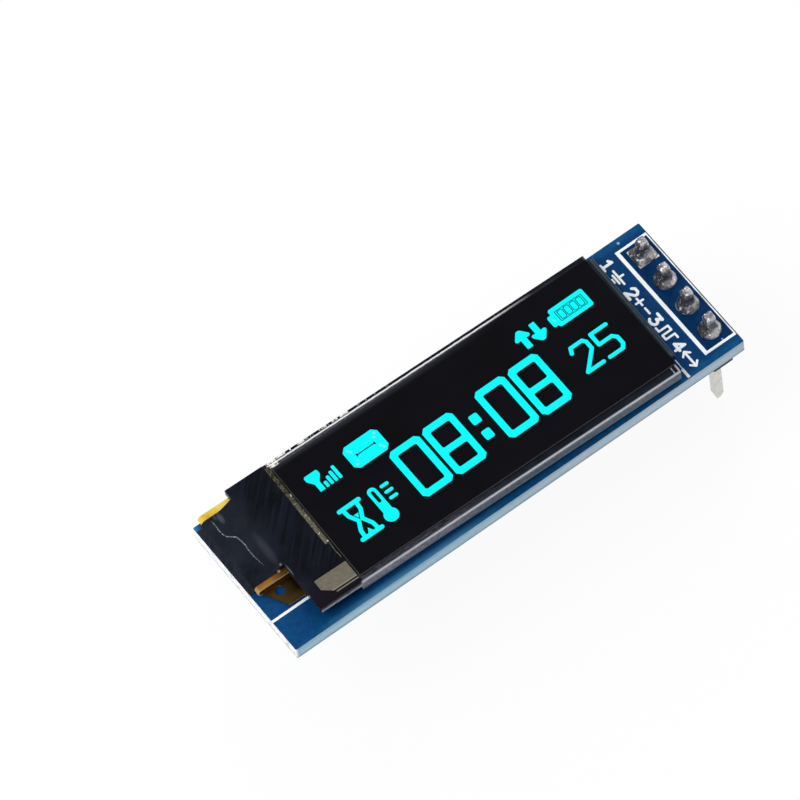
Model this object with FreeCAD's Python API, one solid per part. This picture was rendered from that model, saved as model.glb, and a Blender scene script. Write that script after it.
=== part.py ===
import FreeCAD, Part
import math
import os

os.makedirs("parts", exist_ok=True)

# Small display module: a circuit board with a glass display panel on its face, a flex tail
# folded back under the panel, black tape over the fold, and a four-pin header.
# Millimetres. X runs along the board towards the header, Y to the far side, Z out of the display.
# The origin is the middle of the pin row, on the lower face of the header's insulator.

# Display panel: two sealed glass plates, the upper one longer by the ledge that holds the chip
panel_length = 30.0
panel_width = 11.5
ledge_length = 3.4
upper_glass = 0.5
lower_glass = 0.5
seal_thickness = 0.02
seal_width = 0.9
seal_clearance = 0.2
pocket_depth = 0.2
pocket_inset = 0.3
desiccant_thickness = 0.1
desiccant_clearance = 0.5
polariser_thickness = 0.2
polariser_ledge_gap = 0.15
polariser_end_gap = 0.05
polariser_side_gap = 0.56
polariser_skew = 0.4

# How the panel sits on the board: a little skewed, as it was stuck down by hand
adhesive_thickness = 0.25
adhesive_ledge_margin = 0.8
adhesive_near_margin = 1.75
adhesive_end_overrun = 0.72
panel_skew = -1.15
panel_shift = 0.27

# Circuit board, sized by what it carries
board_thickness = 1.2
board_side_margin = 0.25
board_corner = 0.1
flex_room = 2.96
label_room = 3.77
row_to_end = 1.27
copper = 0.04

# Driver chip on the underside of the ledge
chip_length = 6.8
chip_width = 0.86
chip_thickness = 0.3
chip_gap = 0.3

# Flex tail
flex_thickness = 0.1
flex_width = 7.26
flex_centre = 1.83
bond_length = 1.3
bond_thickness = 0.03
fold_setback = 0.42
tail_width = 9.2
tail_centre = 1.0
tail_gap = 0.4
tail_corner = 0.25
flare_length = 1.0
guide_hole = 0.75
guide_hole_inset = 1.3
guide_hole_setback = 1.1
finger_count = 14
finger_pitch = 0.62
finger_width = 0.32
finger_length = 1.6
finger_thickness = 0.03
finger_end_gap = 0.3
land_overrun = 0.15

# Black tape over the ledge and the fold, with a window at one corner of the ledge
tape_thickness = 0.06
tape_side_gap = 0.12
tape_strip_gap = 0.5
tape_polariser_gap = 0.06
tape_strip_near_inset = 0.45
tape_strip_far_inset = 0.53
tape_overhang = 0.1
tape_overrun = 1.0
tape_drop_run = 1.0
tape_edge_bend = 0.15
tape_touch_bend = 0.6
tape_foot_bend = 0.12
strip_near_end = -1.9
strip_slant = 0.35

# Pale contact patch in the tape's window
patch_length = 2.6
patch_width = 1.48
patch_chamfer_x = 0.8
patch_chamfer_y = 0.65
patch_thickness = 0.04
patch_side_gap = 0.55
patch_clearance = 0.05

# Resin bead between the tape and the polariser
bead_clearance = 0.04
bead_height = 0.09
bead_far_gap = 0.3

# Pin header
pin_count = 4
pin_pitch = 2.54
pin_side = 0.64
pin_stub = 1.8
pin_reach = 6.0
pin_point_length = 0.7
pin_point_width = 0.3
stub_bevel = 0.12
insulator_height = 2.1
insulator_width = 2.5
insulator_notch = 0.5

# Plated holes and solder joints
hole_clearance = 0.1
plating = 0.03
annular_ring = 0.32
solder_height = 1.15
solder_edge = 0.04
solder_collar = 0.05
solder_sag = 0.16

# White print
print_thickness = 0.03
print_line = 0.2
print_thin_line = 0.16
print_wide_line = 0.28
outline_reach = 1.33
outline_end_gap = 0.02
outline_shift = -0.07
edge_line_offset = 3.27
edge_line_hidden = 1.0
panel_line_length = 0.8
panel_line_gap = 0.41
panel_line_edge_gap = 0.08

# Chip parts on the back of the board
chip_part_length = 1.6
chip_part_width = 0.8
capacitor_height = 0.8
resistor_height = 0.42
terminal_length = 0.32
terminal_skin = 0.03
glaze_thickness = 0.04
glaze_side_gap = 0.03
land_overhang = 0.3
land_side = 0.05
fillet_run = 0.22
fillet_rise = 0.3

# Moulded parts on the back: a three-lead regulator and a two-lead diode
regulator_length = 2.9
regulator_width = 1.3
regulator_height = 1.0
regulator_lead_pitch = 0.95
regulator_span = 2.4
diode_length = 1.7
diode_width = 1.25
diode_height = 0.9
diode_span = 2.5
lead_width = 0.4
lead_thickness = 0.12
lead_foot = 0.35
lead_bend = 0.1
mould_taper_width = 0.08
mould_lift = 0.05

# Where the back's parts sit: back from the pin row, across the board, and turned by degrees
regulator_place = (-6.0, 1.6, 90.0)
diode_place = (-20.6, 3.1, 0.0)
capacitor_places = (
    (-5.6, -3.2, 0.0),
    (-9.6, 1.6, 90.0),
    (-25.2, 3.1, 90.0),
    (-25.2, -0.4, 90.0),
    (-28.6, 1.3, 90.0),
)
resistor_places = (
    (-13.2, 3.4, 0.0),
    (-13.2, 1.0, 0.0),
    (-13.2, -1.4, 0.0),
    (-20.6, -0.2, 0.0),
)

# Worked out from the above
board_width = panel_width + 2 * board_side_margin
board_length = flex_room + panel_length + label_room + row_to_end
board_end = row_to_end - board_length
board_back = insulator_height + copper
board_face = board_back + board_thickness

lower_glass_base = board_face + adhesive_thickness
seal_base = lower_glass_base + lower_glass
ledge_base = seal_base + seal_thickness
ledge_top = ledge_base + upper_glass
panel_x = board_end + flex_room + panel_length / 2
ledge_end = -panel_length / 2
panel_end = panel_length / 2
cap_end = ledge_end + ledge_length
polariser_edge = cap_end + polariser_ledge_gap

flex_upper = ledge_base - bond_thickness - flex_thickness / 2
flex_lower = board_face + copper + finger_thickness + flex_thickness / 2
fold_radius = (flex_upper - flex_lower) / 2
fold_crest = ledge_end - flex_room + fold_setback
fold_start = fold_crest + flex_thickness / 2 + fold_radius
flex_near = flex_centre - flex_width / 2
flex_far = flex_centre + flex_width / 2
tail_near = tail_centre - tail_width / 2
tail_far = tail_centre + tail_width / 2
tail_end = cap_end - tail_gap
finger_start = tail_end - finger_end_gap - finger_length

tape_near = -panel_width / 2 + tape_side_gap
tape_far = panel_width / 2
tape_strip_edge = polariser_edge - tape_strip_gap
tape_close_edge = polariser_edge - tape_polariser_gap
patch_near = -panel_width / 2 + patch_side_gap
patch_far = patch_near + patch_width
patch_end = tape_close_edge - patch_clearance
patch_start = patch_end - patch_length

pin_diagonal = math.hypot(pin_side, pin_side)
hole_radius = (pin_diagonal + hole_clearance) / 2
pad_radius = hole_radius + annular_ring
pin_row = [(pin_count - 1 - 2 * i) * pin_pitch / 2 for i in range(pin_count)]
lead_centre = lead_thickness / 2 + copper

UP = FreeCAD.Vector(0, 0, 1)
ORIGIN = FreeCAD.Vector(0, 0, 0)


def block(x0, x1, y0, y1, z0, z1):
    """A box between two corners."""
    return Part.makeBox(x1 - x0, y1 - y0, z1 - z0, FreeCAD.Vector(x0, y0, z0))


def prism(outline, z0, z1):
    """A plate cut to an outline of (x, y) points."""
    points = [FreeCAD.Vector(x, y, z0) for x, y in outline]
    face = Part.Face(Part.makePolygon(points + points[:1]))
    return face.extrude(FreeCAD.Vector(0, 0, z1 - z0))


def cylinder(x, y, radius, z0, z1):
    """An upright cylinder."""
    return Part.makeCylinder(radius, z1 - z0, FreeCAD.Vector(x, y, z0))


def tapered_block(length, width, z0, z1, inset):
    """A block about the origin whose upper face is smaller than its base by inset all round."""
    rings = []
    for z, half_x, half_y in ((z0, length / 2, width / 2), (z1, length / 2 - inset, width / 2 - inset)):
        corners = ((-half_x, -half_y), (half_x, -half_y), (half_x, half_y), (-half_x, half_y))
        points = [FreeCAD.Vector(x, y, z) for x, y in corners]
        rings.append(Part.makePolygon(points + points[:1]))
    return Part.makeLoft(rings, True, True)


def one_solid(first, *others):
    """Fuse shapes that touch into one clean solid."""
    return first.fuse(list(others)).removeSplitter().Solids[0]


def round_upright_edges(solid, radius, near=None):
    """Round the upright edges, or only those at the listed (x, y) corners."""
    chosen = []
    for edge in solid.Edges:
        start, end = edge.Vertexes[0].Point, edge.Vertexes[-1].Point
        upright = math.hypot(start.x - end.x, start.y - end.y) < 1e-6 and abs(start.z - end.z) > 1e-6
        listed = near is None or any(math.hypot(start.x - x, start.y - y) < 1e-6 for x, y in near)
        if upright and listed:
            chosen.append(edge)
    return solid.makeFillet(radius, chosen)


def strip_side(route, bends, offset):
    """Edges of one side of a bent strip, offset to the left of its route."""
    edges = []
    last = len(route) - 1
    headings = [(route[i + 1] - route[i]).normalize() for i in range(last)]
    lefts = [FreeCAD.Vector(-heading.z, 0, heading.x) for heading in headings]
    here = route[0] + lefts[0] * offset
    for i in range(1, last):
        turn = headings[i - 1].getAngle(headings[i])
        side = 1 if headings[i - 1].dot(lefts[i]) < 0 else -1
        reach = bends[i - 1] * math.tan(turn / 2)
        centre = route[i] - headings[i - 1] * reach + lefts[i - 1] * (side * bends[i - 1])
        radius = bends[i - 1] - side * offset
        entry = centre - lefts[i - 1] * (side * radius)
        leave = centre - lefts[i] * (side * radius)
        middle = centre + (route[i] - centre).normalize() * radius
        if (entry - here).Length > 1e-6:
            edges.append(Part.LineSegment(here, entry).toShape())
        edges.append(Part.Arc(entry, middle, leave).toShape())
        here = leave
    edges.append(Part.LineSegment(here, route[last] + lefts[-1] * offset).toShape())
    return edges


def bent_strip(route, bends, thickness, y0, y1):
    """A strip of even thickness along (x, z) points, with a bend radius at each inner point."""
    points = [FreeCAD.Vector(x, y0, z) for x, z in route]
    one = strip_side(points, bends, thickness / 2)
    other = strip_side(points, bends, -thickness / 2)
    ends = []
    for pick in (0, -1):
        a = one[pick].Vertexes[pick].Point
        b = other[pick].Vertexes[pick].Point
        ends.append(Part.LineSegment(a, b).toShape())
    wire = Part.Wire(Part.__sortEdges__(one + other + ends))
    return Part.Face(wire).extrude(FreeCAD.Vector(0, y1 - y0, 0))


def on_panel(shape):
    """Set a shape that is drawn about the panel's middle on the board."""
    placed = shape.copy()
    placed.rotate(ORIGIN, UP, panel_skew)
    placed.translate(FreeCAD.Vector(panel_x, panel_shift, 0))
    return placed


def on_back(shape, place):
    """Set a shape that is drawn standing on z = 0 on the back of the board."""
    x, y, turn = place
    placed = shape.copy()
    placed.rotate(ORIGIN, UP, turn)
    placed.rotate(ORIGIN, FreeCAD.Vector(1, 0, 0), 180)
    placed.translate(FreeCAD.Vector(x, y, board_back))
    return placed


def circuit_board():
    """Board with rounded corners and the four drilled holes."""
    half = board_width / 2
    board = block(board_end, row_to_end, -half, half, board_back, board_face)
    board = round_upright_edges(board, board_corner)
    drills = [cylinder(0, y, hole_radius + plating, board_back, board_face) for y in pin_row]
    return board.cut(Part.makeCompound(drills)).Solids[0]


def pad(y, square):
    """Plated hole with a ring of copper on both faces, square for pin 1."""
    if square:
        ring = block(-pad_radius, pad_radius, y - pad_radius, y + pad_radius, 0, copper)
    else:
        ring = cylinder(0, y, pad_radius, 0, copper)
    barrel = cylinder(0, y, hole_radius + plating, board_back, board_face)
    lower = ring.translated(FreeCAD.Vector(0, 0, board_back - copper))
    upper = ring.translated(FreeCAD.Vector(0, 0, board_face))
    bore = cylinder(0, y, hole_radius, board_back - copper, board_face + copper)
    return one_solid(lower, barrel, upper).cut(bore).Solids[0]


def header_pin(y):
    """Square pin with a pointed mating end and a bevelled end above the board."""
    top = board_face + pin_stub
    half = pin_side / 2
    shaft = block(-half, half, y - half, y + half, pin_point_length - pin_reach, top - stub_bevel)
    bevel = tapered_block(pin_side, pin_side, 0, stub_bevel, stub_bevel)
    bevel.translate(FreeCAD.Vector(0, y, top - stub_bevel))
    point = tapered_block(pin_side, pin_side, 0, pin_point_length, (pin_side - pin_point_width) / 2)
    point.rotate(ORIGIN, FreeCAD.Vector(1, 0, 0), 180)
    point.translate(FreeCAD.Vector(0, y, pin_point_length - pin_reach))
    return one_solid(shaft, bevel, point)


def insulator():
    """Moulded strip with a V notch between neighbours, bored for the square pins."""
    half = insulator_width / 2
    waist = half - insulator_notch
    end = pin_count * pin_pitch / 2
    side = []
    for y in pin_row:
        side.append((half, y + pin_pitch / 2 - insulator_notch))
        side.append((half, y - pin_pitch / 2 + insulator_notch))
        side.append((waist, y - pin_pitch / 2))
    outline = [(waist, end)] + side
    outline += [(-x, y) for x, y in reversed(outline)]
    body = prism(outline, 0, insulator_height)
    half_pin = pin_side / 2
    bores = [block(-half_pin, half_pin, y - half_pin, y + half_pin, 0, insulator_height) for y in pin_row]
    return body.cut(Part.makeCompound(bores)).Solids[0]


def solder_joint(y, square):
    """Solder that fills the plated hole and climbs the pin in a hollow cone."""
    base = board_face + copper
    foot = pad_radius - solder_edge
    if square:
        foot = math.hypot(foot, foot)
    neck = hole_radius
    top = base + solder_height
    collar = pin_diagonal / 2 + solder_collar
    low = FreeCAD.Vector(foot, 0, base)
    high = FreeCAD.Vector(collar, 0, top)
    middle = FreeCAD.Vector((foot + collar) / 2 - solder_sag, 0, (base + top) / 2 - solder_sag)
    corners = [
        FreeCAD.Vector(0, 0, board_back - copper),
        FreeCAD.Vector(neck, 0, board_back - copper),
        FreeCAD.Vector(neck, 0, base),
        low,
    ]
    edges = [Part.LineSegment(a, b).toShape() for a, b in zip(corners, corners[1:])]
    edges.append(Part.Arc(low, middle, high).toShape())
    edges.append(Part.LineSegment(high, FreeCAD.Vector(0, 0, top)).toShape())
    edges.append(Part.LineSegment(FreeCAD.Vector(0, 0, top), corners[0]).toShape())
    joint = Part.Face(Part.Wire(edges)).revolve(ORIGIN, UP, 360)
    if square:
        side = pad_radius - solder_edge
        joint = joint.common(block(-side, side, -side, side, board_back - copper, top))
    joint.translate(FreeCAD.Vector(0, y, 0))
    return joint.cut(header_pin(y)).Solids[0]


def board_print():
    """White print: the header's outline, the line beside the tail and the line at the panel's end."""
    z0 = board_face
    z1 = board_face + print_thickness
    half_line = print_line / 2
    near = outline_shift - pin_count * pin_pitch / 2
    far = outline_shift + pin_count * pin_pitch / 2
    left = -outline_reach - print_wide_line / 2
    right = row_to_end - outline_end_gap
    outer = block(left, right, near - half_line, far + half_line, z0, z1)
    inner = block(left + print_wide_line, right - print_thin_line, near + half_line, far - half_line, z0, z1)
    tail_y = -edge_line_offset
    tail_x = board_end + flex_room + edge_line_hidden
    tail_line = block(board_end, tail_x, tail_y - half_line, tail_y + half_line, z0, z1)
    end_x = -label_room + panel_line_gap
    end_y = -board_width / 2 + panel_line_edge_gap
    end_line = block(end_x - half_line, end_x + half_line, end_y, end_y + panel_line_length, z0, z1)
    return Part.makeCompound([outer.cut(inner).Solids[0], tail_line, end_line])


def glass_plates():
    """Upper plate with its ledge, and lower plate with a pocket over the pixels."""
    half = panel_width / 2
    upper = block(ledge_end, panel_end, -half, half, ledge_base, ledge_top)
    lower = block(cap_end, panel_end, -half, half, lower_glass_base, seal_base)
    rim = seal_width + pocket_inset
    pocket = block(cap_end + rim, panel_end - rim, -half + rim, half - rim,
                   seal_base - pocket_depth, seal_base)
    return upper, lower.cut(pocket).Solids[0]


def panel_seal():
    """Seal that runs round between the two plates."""
    half = panel_width / 2
    outer = block(cap_end, panel_end, -half, half, seal_base, ledge_base)
    inner = block(cap_end + seal_width, panel_end - seal_width, -half + seal_width, half - seal_width,
                  seal_base, ledge_base)
    return outer.cut(inner).Solids[0]


def pixel_layers():
    """Light-emitting layers on the underside of the upper plate, inside the seal."""
    rim = seal_width + seal_clearance
    half = panel_width / 2 - rim
    return block(cap_end + rim, panel_end - rim, -half, half, seal_base, ledge_base)


def desiccant_sheet():
    """Drying sheet on the floor of the lower plate's pocket."""
    rim = seal_width + pocket_inset + desiccant_clearance
    half = panel_width / 2 - rim
    floor = seal_base - pocket_depth
    return block(cap_end + rim, panel_end - rim, -half, half, floor, floor + desiccant_thickness)


def polariser():
    """Dark film on the face of the panel, laid a little out of square."""
    half = panel_width / 2 - polariser_side_gap
    film = block(polariser_edge, panel_end - polariser_end_gap, -half, half,
                 ledge_top, ledge_top + polariser_thickness)
    middle = FreeCAD.Vector((polariser_edge + panel_end) / 2, 0, 0)
    film.rotate(middle, UP, polariser_skew)
    return film


def driver_chip():
    """Bare chip bonded to the underside of the ledge, beside the lower plate."""
    end = cap_end - chip_gap
    return block(end - chip_width, end, -chip_length / 2, chip_length / 2,
                 ledge_base - chip_thickness, ledge_base)


def bond_film():
    """Conductive film that bonds the flex to the ledge."""
    return block(ledge_end, ledge_end + bond_length, flex_near, flex_far,
                 ledge_base - bond_thickness, ledge_base)


def flex_tail():
    """Flex that leaves the ledge, folds back on itself and widens into a tail with guide holes."""
    route = ((ledge_end + bond_length, flex_upper), (fold_crest + flex_thickness / 2, flex_upper),
             (fold_crest + flex_thickness / 2, flex_lower), (fold_start + flare_length, flex_lower))
    folded = bent_strip(route, (fold_radius, fold_radius), flex_thickness, flex_near, flex_far)
    z0 = flex_lower - flex_thickness / 2
    z1 = flex_lower + flex_thickness / 2
    flare_x = fold_start + flare_length
    outline = ((fold_start, flex_near), (flare_x, tail_near), (tail_end, tail_near),
               (tail_end, tail_far), (flare_x, tail_far), (fold_start, flex_far))
    tail = round_upright_edges(prism(outline, z0, z1), tail_corner, outline[1:5])
    hole_x = fold_start + guide_hole_setback
    holes = [cylinder(hole_x, y, guide_hole / 2, z0, z1)
             for y in (tail_near + guide_hole_inset, tail_far - guide_hole_inset)]
    return one_solid(folded, tail).cut(Part.makeCompound(holes)).Solids[0]


def finger_row(width, start, end, z0, z1):
    """One bar for each conductor, side by side across the tail."""
    bars = []
    for i in range(finger_count):
        y = tail_centre + (i - (finger_count - 1) / 2) * finger_pitch
        bars.append(block(start, end, y - width / 2, y + width / 2, z0, z1))
    return Part.makeCompound(bars)


def flex_fingers():
    """Soldered conductors on the underside of the tail."""
    base = board_face + copper
    return finger_row(finger_width, finger_start, finger_start + finger_length, base, base + finger_thickness)


def board_lands():
    """Copper lands on the board under the tail's conductors, square to the board."""
    end = finger_start + finger_length + land_overrun
    lands = finger_row(finger_width, finger_start - land_overrun, end, board_face, board_face + copper)
    lands.translate(FreeCAD.Vector(panel_x, panel_shift, 0))
    return lands


def black_tape():
    """Tape over the ledge, then down over the fold to the end of the board."""
    mid = tape_thickness / 2
    flex_face = flex_upper + flex_thickness / 2 + mid
    crest = fold_crest - mid
    edge = ledge_end - tape_overhang
    past_end = ledge_end - flex_room - tape_overrun
    route = ((tape_strip_edge, ledge_top + mid), (edge, ledge_top + mid),
             (edge - tape_drop_run, flex_face), (crest, flex_face),
             (crest, board_face + mid), (past_end, board_face + mid))
    bends = (tape_edge_bend, tape_touch_bend, fold_radius + flex_thickness / 2 + mid, tape_foot_bend)
    near = flex_near + tape_strip_near_inset
    far = flex_far - tape_strip_far_inset
    strip = bent_strip(route, bends, tape_thickness, near, far)
    cover_outline = ((ledge_end, tape_near), (tape_close_edge, tape_near),
                     (tape_close_edge, strip_near_end - strip_slant), (tape_strip_edge, strip_near_end),
                     (tape_strip_edge, tape_far), (ledge_end, tape_far))
    cover = prism(cover_outline, ledge_top, ledge_top + tape_thickness)
    window = prism(patch_outline(patch_clearance), ledge_top, ledge_top + tape_thickness)
    tape = on_panel(one_solid(strip, cover).cut(window))
    waste = block(board_end - 2 * tape_overrun, board_end, -board_width, board_width, board_face, ledge_base)
    return tape.cut(waste).Solids[0]


def patch_outline(grow):
    """Five-sided outline of the contact patch, grown by a clearance."""
    x0 = patch_start - grow
    x1 = patch_end + grow
    y0 = patch_near - grow
    y1 = patch_far + grow
    return ((x0, y1), (x0, y0 + patch_chamfer_y), (x0 + patch_chamfer_x, y0), (x1, y0), (x1, y1))


def contact_patch():
    """Pale contact patch that shows in the tape's window."""
    return prism(patch_outline(0), ledge_top, ledge_top + patch_thickness)


def resin_bead():
    """Low bead of clear resin on the bare strip of the ledge."""
    x0 = tape_strip_edge + bead_clearance
    x1 = polariser_edge - 2 * bead_clearance
    y0 = strip_near_end + bead_clearance
    y1 = panel_width / 2 - bead_far_gap
    low = FreeCAD.Vector(x0, y0, ledge_top)
    crown = FreeCAD.Vector((x0 + x1) / 2, y0, ledge_top + bead_height)
    high = FreeCAD.Vector(x1, y0, ledge_top)
    wire = Part.Wire([Part.Arc(low, crown, high).toShape(), Part.LineSegment(high, low).toShape()])
    return Part.Face(wire).extrude(FreeCAD.Vector(0, y1 - y0, 0))


def panel_adhesive():
    """Double-sided adhesive under the lower plate; it reaches out past the panel's end."""
    half = panel_width / 2
    return block(cap_end + adhesive_ledge_margin, panel_end + adhesive_end_overrun,
                 -half + adhesive_near_margin, half, board_face, lower_glass_base)


def chip_part_core(height):
    """Ceramic core of a chip part, standing on its lands."""
    half_x = chip_part_length / 2
    half_y = chip_part_width / 2
    base = copper + terminal_skin
    return block(-half_x, half_x, -half_y, half_y, base, base + height)


def chip_part_ends(height):
    """The two metal end caps that wrap a chip part's core."""
    outer_x = chip_part_length / 2 + terminal_skin
    outer_y = chip_part_width / 2 + terminal_skin
    top = copper + height + 2 * terminal_skin
    core = chip_part_core(height)
    inner_x = chip_part_length / 2 - terminal_length
    left = block(-outer_x, -inner_x, -outer_y, outer_y, copper, top).cut(core)
    right = block(inner_x, outer_x, -outer_y, outer_y, copper, top).cut(core)
    return left.Solids + right.Solids


def chip_part_lands():
    """The two copper lands under a chip part."""
    outer = chip_part_length / 2 + terminal_skin + land_overhang
    inner = chip_part_length / 2 - terminal_length
    half = chip_part_width / 2 + terminal_skin + land_side
    return [block(-outer, -inner, -half, half, 0, copper), block(inner, outer, -half, half, 0, copper)]


def chip_part_fillets():
    """A wedge of solder against each end cap."""
    half = chip_part_width / 2
    face = chip_part_length / 2 + terminal_skin
    wedges = []
    for side in (-1, 1):
        corners = ((face * side, copper), ((face + fillet_run) * side, copper),
                   (face * side, copper + fillet_rise))
        points = [FreeCAD.Vector(x, -half, z) for x, z in corners]
        wedge = Part.Face(Part.makePolygon(points + points[:1])).extrude(FreeCAD.Vector(0, 2 * half, 0))
        wedges.append(wedge)
    return wedges


def resistor_glaze():
    """Dark glaze over a resistor's film, between its end caps."""
    half_x = chip_part_length / 2 - terminal_length
    half_y = chip_part_width / 2 - glaze_side_gap
    base = copper + terminal_skin + resistor_height
    return block(-half_x, half_x, -half_y, half_y, base, base + glaze_thickness)


def gull_lead(y, side, body_half, span, exit_height):
    """Gull-wing lead that leaves a moulded body and stands on its land."""
    toe = side * span / 2
    knee = side * (span / 2 - lead_foot)
    root = side * body_half
    route = ((root, exit_height), (knee, exit_height), (knee, lead_centre), (toe, lead_centre))
    return bent_strip(route, (lead_bend, lead_bend), lead_thickness, y - lead_width / 2, y + lead_width / 2)


def moulded_body(length, width, height):
    """Moulded body with drafted upper and lower halves, its leads along X."""
    half = height / 2
    upper = tapered_block(width, length, 0, half, mould_taper_width)
    lower = tapered_block(width, length, 0, half, mould_taper_width)
    lower.rotate(ORIGIN, FreeCAD.Vector(1, 0, 0), 180)
    body = one_solid(upper, lower)
    body.translate(FreeCAD.Vector(0, 0, copper + mould_lift + half))
    return body


def moulded_leads(positions, width, height, span):
    """Leads at (y, side) positions round a moulded body."""
    exit_height = copper + mould_lift + height / 2
    return [gull_lead(y, side, width / 2, span, exit_height) for y, side in positions]


def lead_lands(positions, span):
    """A copper land under the foot of each lead."""
    lands = []
    for y, side in positions:
        near = side * (span / 2 - lead_foot - land_side)
        far = side * (span / 2 + land_overhang)
        half = lead_width / 2 + land_side
        lands.append(block(min(near, far), max(near, far), y - half, y + half, 0, copper))
    return lands


regulator_leads = ((-regulator_lead_pitch, -1), (regulator_lead_pitch, -1), (0, 1))
diode_leads = ((0, -1), (0, 1))

parts = {}
parts["circuit_board"] = circuit_board()
parts["board_print"] = board_print()
for number, y in enumerate(pin_row, 1):
    parts[f"pin_pad_{number}"] = pad(y, number == 1)
    parts[f"header_pin_{number}"] = header_pin(y)
    parts[f"pin_solder_{number}"] = solder_joint(y, number == 1)
parts["header_insulator"] = insulator()

upper_plate, lower_plate = glass_plates()
parts["panel_upper_glass"] = on_panel(upper_plate)
parts["panel_lower_glass"] = on_panel(lower_plate)
parts["panel_seal"] = on_panel(panel_seal())
parts["pixel_layers"] = on_panel(pixel_layers())
parts["desiccant_sheet"] = on_panel(desiccant_sheet())
parts["polariser"] = on_panel(polariser())
parts["driver_chip"] = on_panel(driver_chip())
parts["bond_film"] = on_panel(bond_film())
parts["flex_tail"] = on_panel(flex_tail())
parts["flex_fingers"] = on_panel(flex_fingers())
parts["board_lands"] = board_lands()
parts["black_tape"] = black_tape()
parts["contact_patch"] = on_panel(contact_patch())
parts["resin_bead"] = on_panel(resin_bead())
parts["panel_adhesive"] = on_panel(panel_adhesive())

ends = {"capacitor": [], "resistor": []}
glazes = []
lands = []
fillets = []
for kind, height, places in (("capacitor", capacitor_height, capacitor_places),
                             ("resistor", resistor_height, resistor_places)):
    for number, place in enumerate(places, 1):
        parts[f"{kind}_{number}"] = on_back(chip_part_core(height), place)
        ends[kind] += [on_back(cap, place) for cap in chip_part_ends(height)]
        lands += [on_back(land, place) for land in chip_part_lands()]
        fillets += [on_back(wedge, place) for wedge in chip_part_fillets()]
        if kind == "resistor":
            glazes.append(on_back(resistor_glaze(), place))
parts["capacitor_ends"] = Part.makeCompound(ends["capacitor"])
parts["resistor_ends"] = Part.makeCompound(ends["resistor"])
parts["resistor_glaze"] = Part.makeCompound(glazes)

for name, length, width, height, span, leads, place in (
        ("regulator", regulator_length, regulator_width, regulator_height, regulator_span,
         regulator_leads, regulator_place),
        ("diode", diode_length, diode_width, diode_height, diode_span, diode_leads, diode_place)):
    parts[f"{name}_body"] = on_back(moulded_body(length, width, height), place)
    bent = [on_back(lead, place) for lead in moulded_leads(leads, width, height, span)]
    parts[f"{name}_leads"] = Part.makeCompound(bent)
    lands += [on_back(land, place) for land in lead_lands(leads, span)]
parts["back_lands"] = Part.makeCompound(lands)
parts["back_solder"] = Part.makeCompound(fillets)

for name, shape in parts.items():
    shape.exportStep(f"parts/{name}.step")
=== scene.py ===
from math import atan2, cos, pi, radians, sin
import bmesh
import bpy
from mathutils import Euler, Matrix, Vector, geometry, noise


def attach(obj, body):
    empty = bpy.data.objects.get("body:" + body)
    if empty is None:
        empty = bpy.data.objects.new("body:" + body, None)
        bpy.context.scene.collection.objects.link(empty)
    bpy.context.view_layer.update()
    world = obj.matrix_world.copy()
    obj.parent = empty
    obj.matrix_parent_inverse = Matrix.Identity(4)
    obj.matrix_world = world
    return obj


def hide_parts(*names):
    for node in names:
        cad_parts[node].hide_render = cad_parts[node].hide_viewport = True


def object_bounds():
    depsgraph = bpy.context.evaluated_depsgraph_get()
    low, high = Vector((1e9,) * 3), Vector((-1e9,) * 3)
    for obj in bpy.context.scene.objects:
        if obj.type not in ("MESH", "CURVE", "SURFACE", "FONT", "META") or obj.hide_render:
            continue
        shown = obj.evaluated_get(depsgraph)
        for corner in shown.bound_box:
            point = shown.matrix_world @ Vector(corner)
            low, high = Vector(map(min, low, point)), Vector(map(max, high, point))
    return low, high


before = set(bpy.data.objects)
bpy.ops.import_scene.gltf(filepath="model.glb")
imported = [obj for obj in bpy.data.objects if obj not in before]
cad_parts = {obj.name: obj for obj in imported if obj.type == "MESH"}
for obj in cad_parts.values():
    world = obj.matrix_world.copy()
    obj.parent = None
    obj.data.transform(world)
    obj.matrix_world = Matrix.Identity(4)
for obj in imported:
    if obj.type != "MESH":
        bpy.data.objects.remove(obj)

# Looks of the small display module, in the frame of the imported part.
# Lengths are millimetres, turns are degrees and tones are 0 to 255, unless a name says otherwise.
MM = 0.001


def node_span(name):
    """Lowest and highest corner of a CAD node."""
    corners = [vertex.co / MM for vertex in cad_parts[name].data.vertices]
    return [[round(pick(corner[axis] for corner in corners), 3) for axis in range(3)] for pick in (min, max)]


# Board, panel and pins, from the CAD nodes
BOARD_LOW, BOARD_HIGH = node_span("circuit_board")
BOARD_BACK = BOARD_LOW[2]
BOARD_TOP = BOARD_HIGH[2]
LEDGE_TOP = node_span("panel_upper_glass")[1][2]
POLARISER_TOP = node_span("polariser")[1][2]
PIN_COUNT = sum(name.startswith("header_pin_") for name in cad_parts)

# Camera, fitted to the board's corners and the pads; it aims beside the middle of the board's face
CAMERA_AZIMUTH = -27.423
CAMERA_ELEVATION = 60.345
CAMERA_ROLL = -10.136
CAMERA_DISTANCE = 645.03
CAMERA_LENS = 426
CAMERA_SENSOR = 36
CAMERA_CLIP = (10, 10000)
AIM_POINT = ((BOARD_LOW[0] + BOARD_HIGH[0]) / 2, (BOARD_LOW[1] + BOARD_HIGH[1]) / 2, BOARD_TOP)
AIM_RIGHT = -4.706
AIM_UP = 2.341

# Floor, lamps and world
FLOOR_GAP = 0.1
FLOOR_HALF = 900
FLOOR_GLOW = 0.92
LAMPS = (
    # direction to the lamp, distance, side length, share of the full level, name
    ((-0.62, 0.12, 0.78), 420, 260, 0.56, "key"),
    ((0.45, 0.7, 0.55), 460, 260, 0.28, "back"),
)
WORLD_STRENGTH = 0.5
WHITE = (1, 1, 1, 1)

# The panel's own frame on the board; places on the panel are counted in it
PANEL_CENTRE = (-18.77, 0.27)
PANEL_TURN = -1.15

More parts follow.
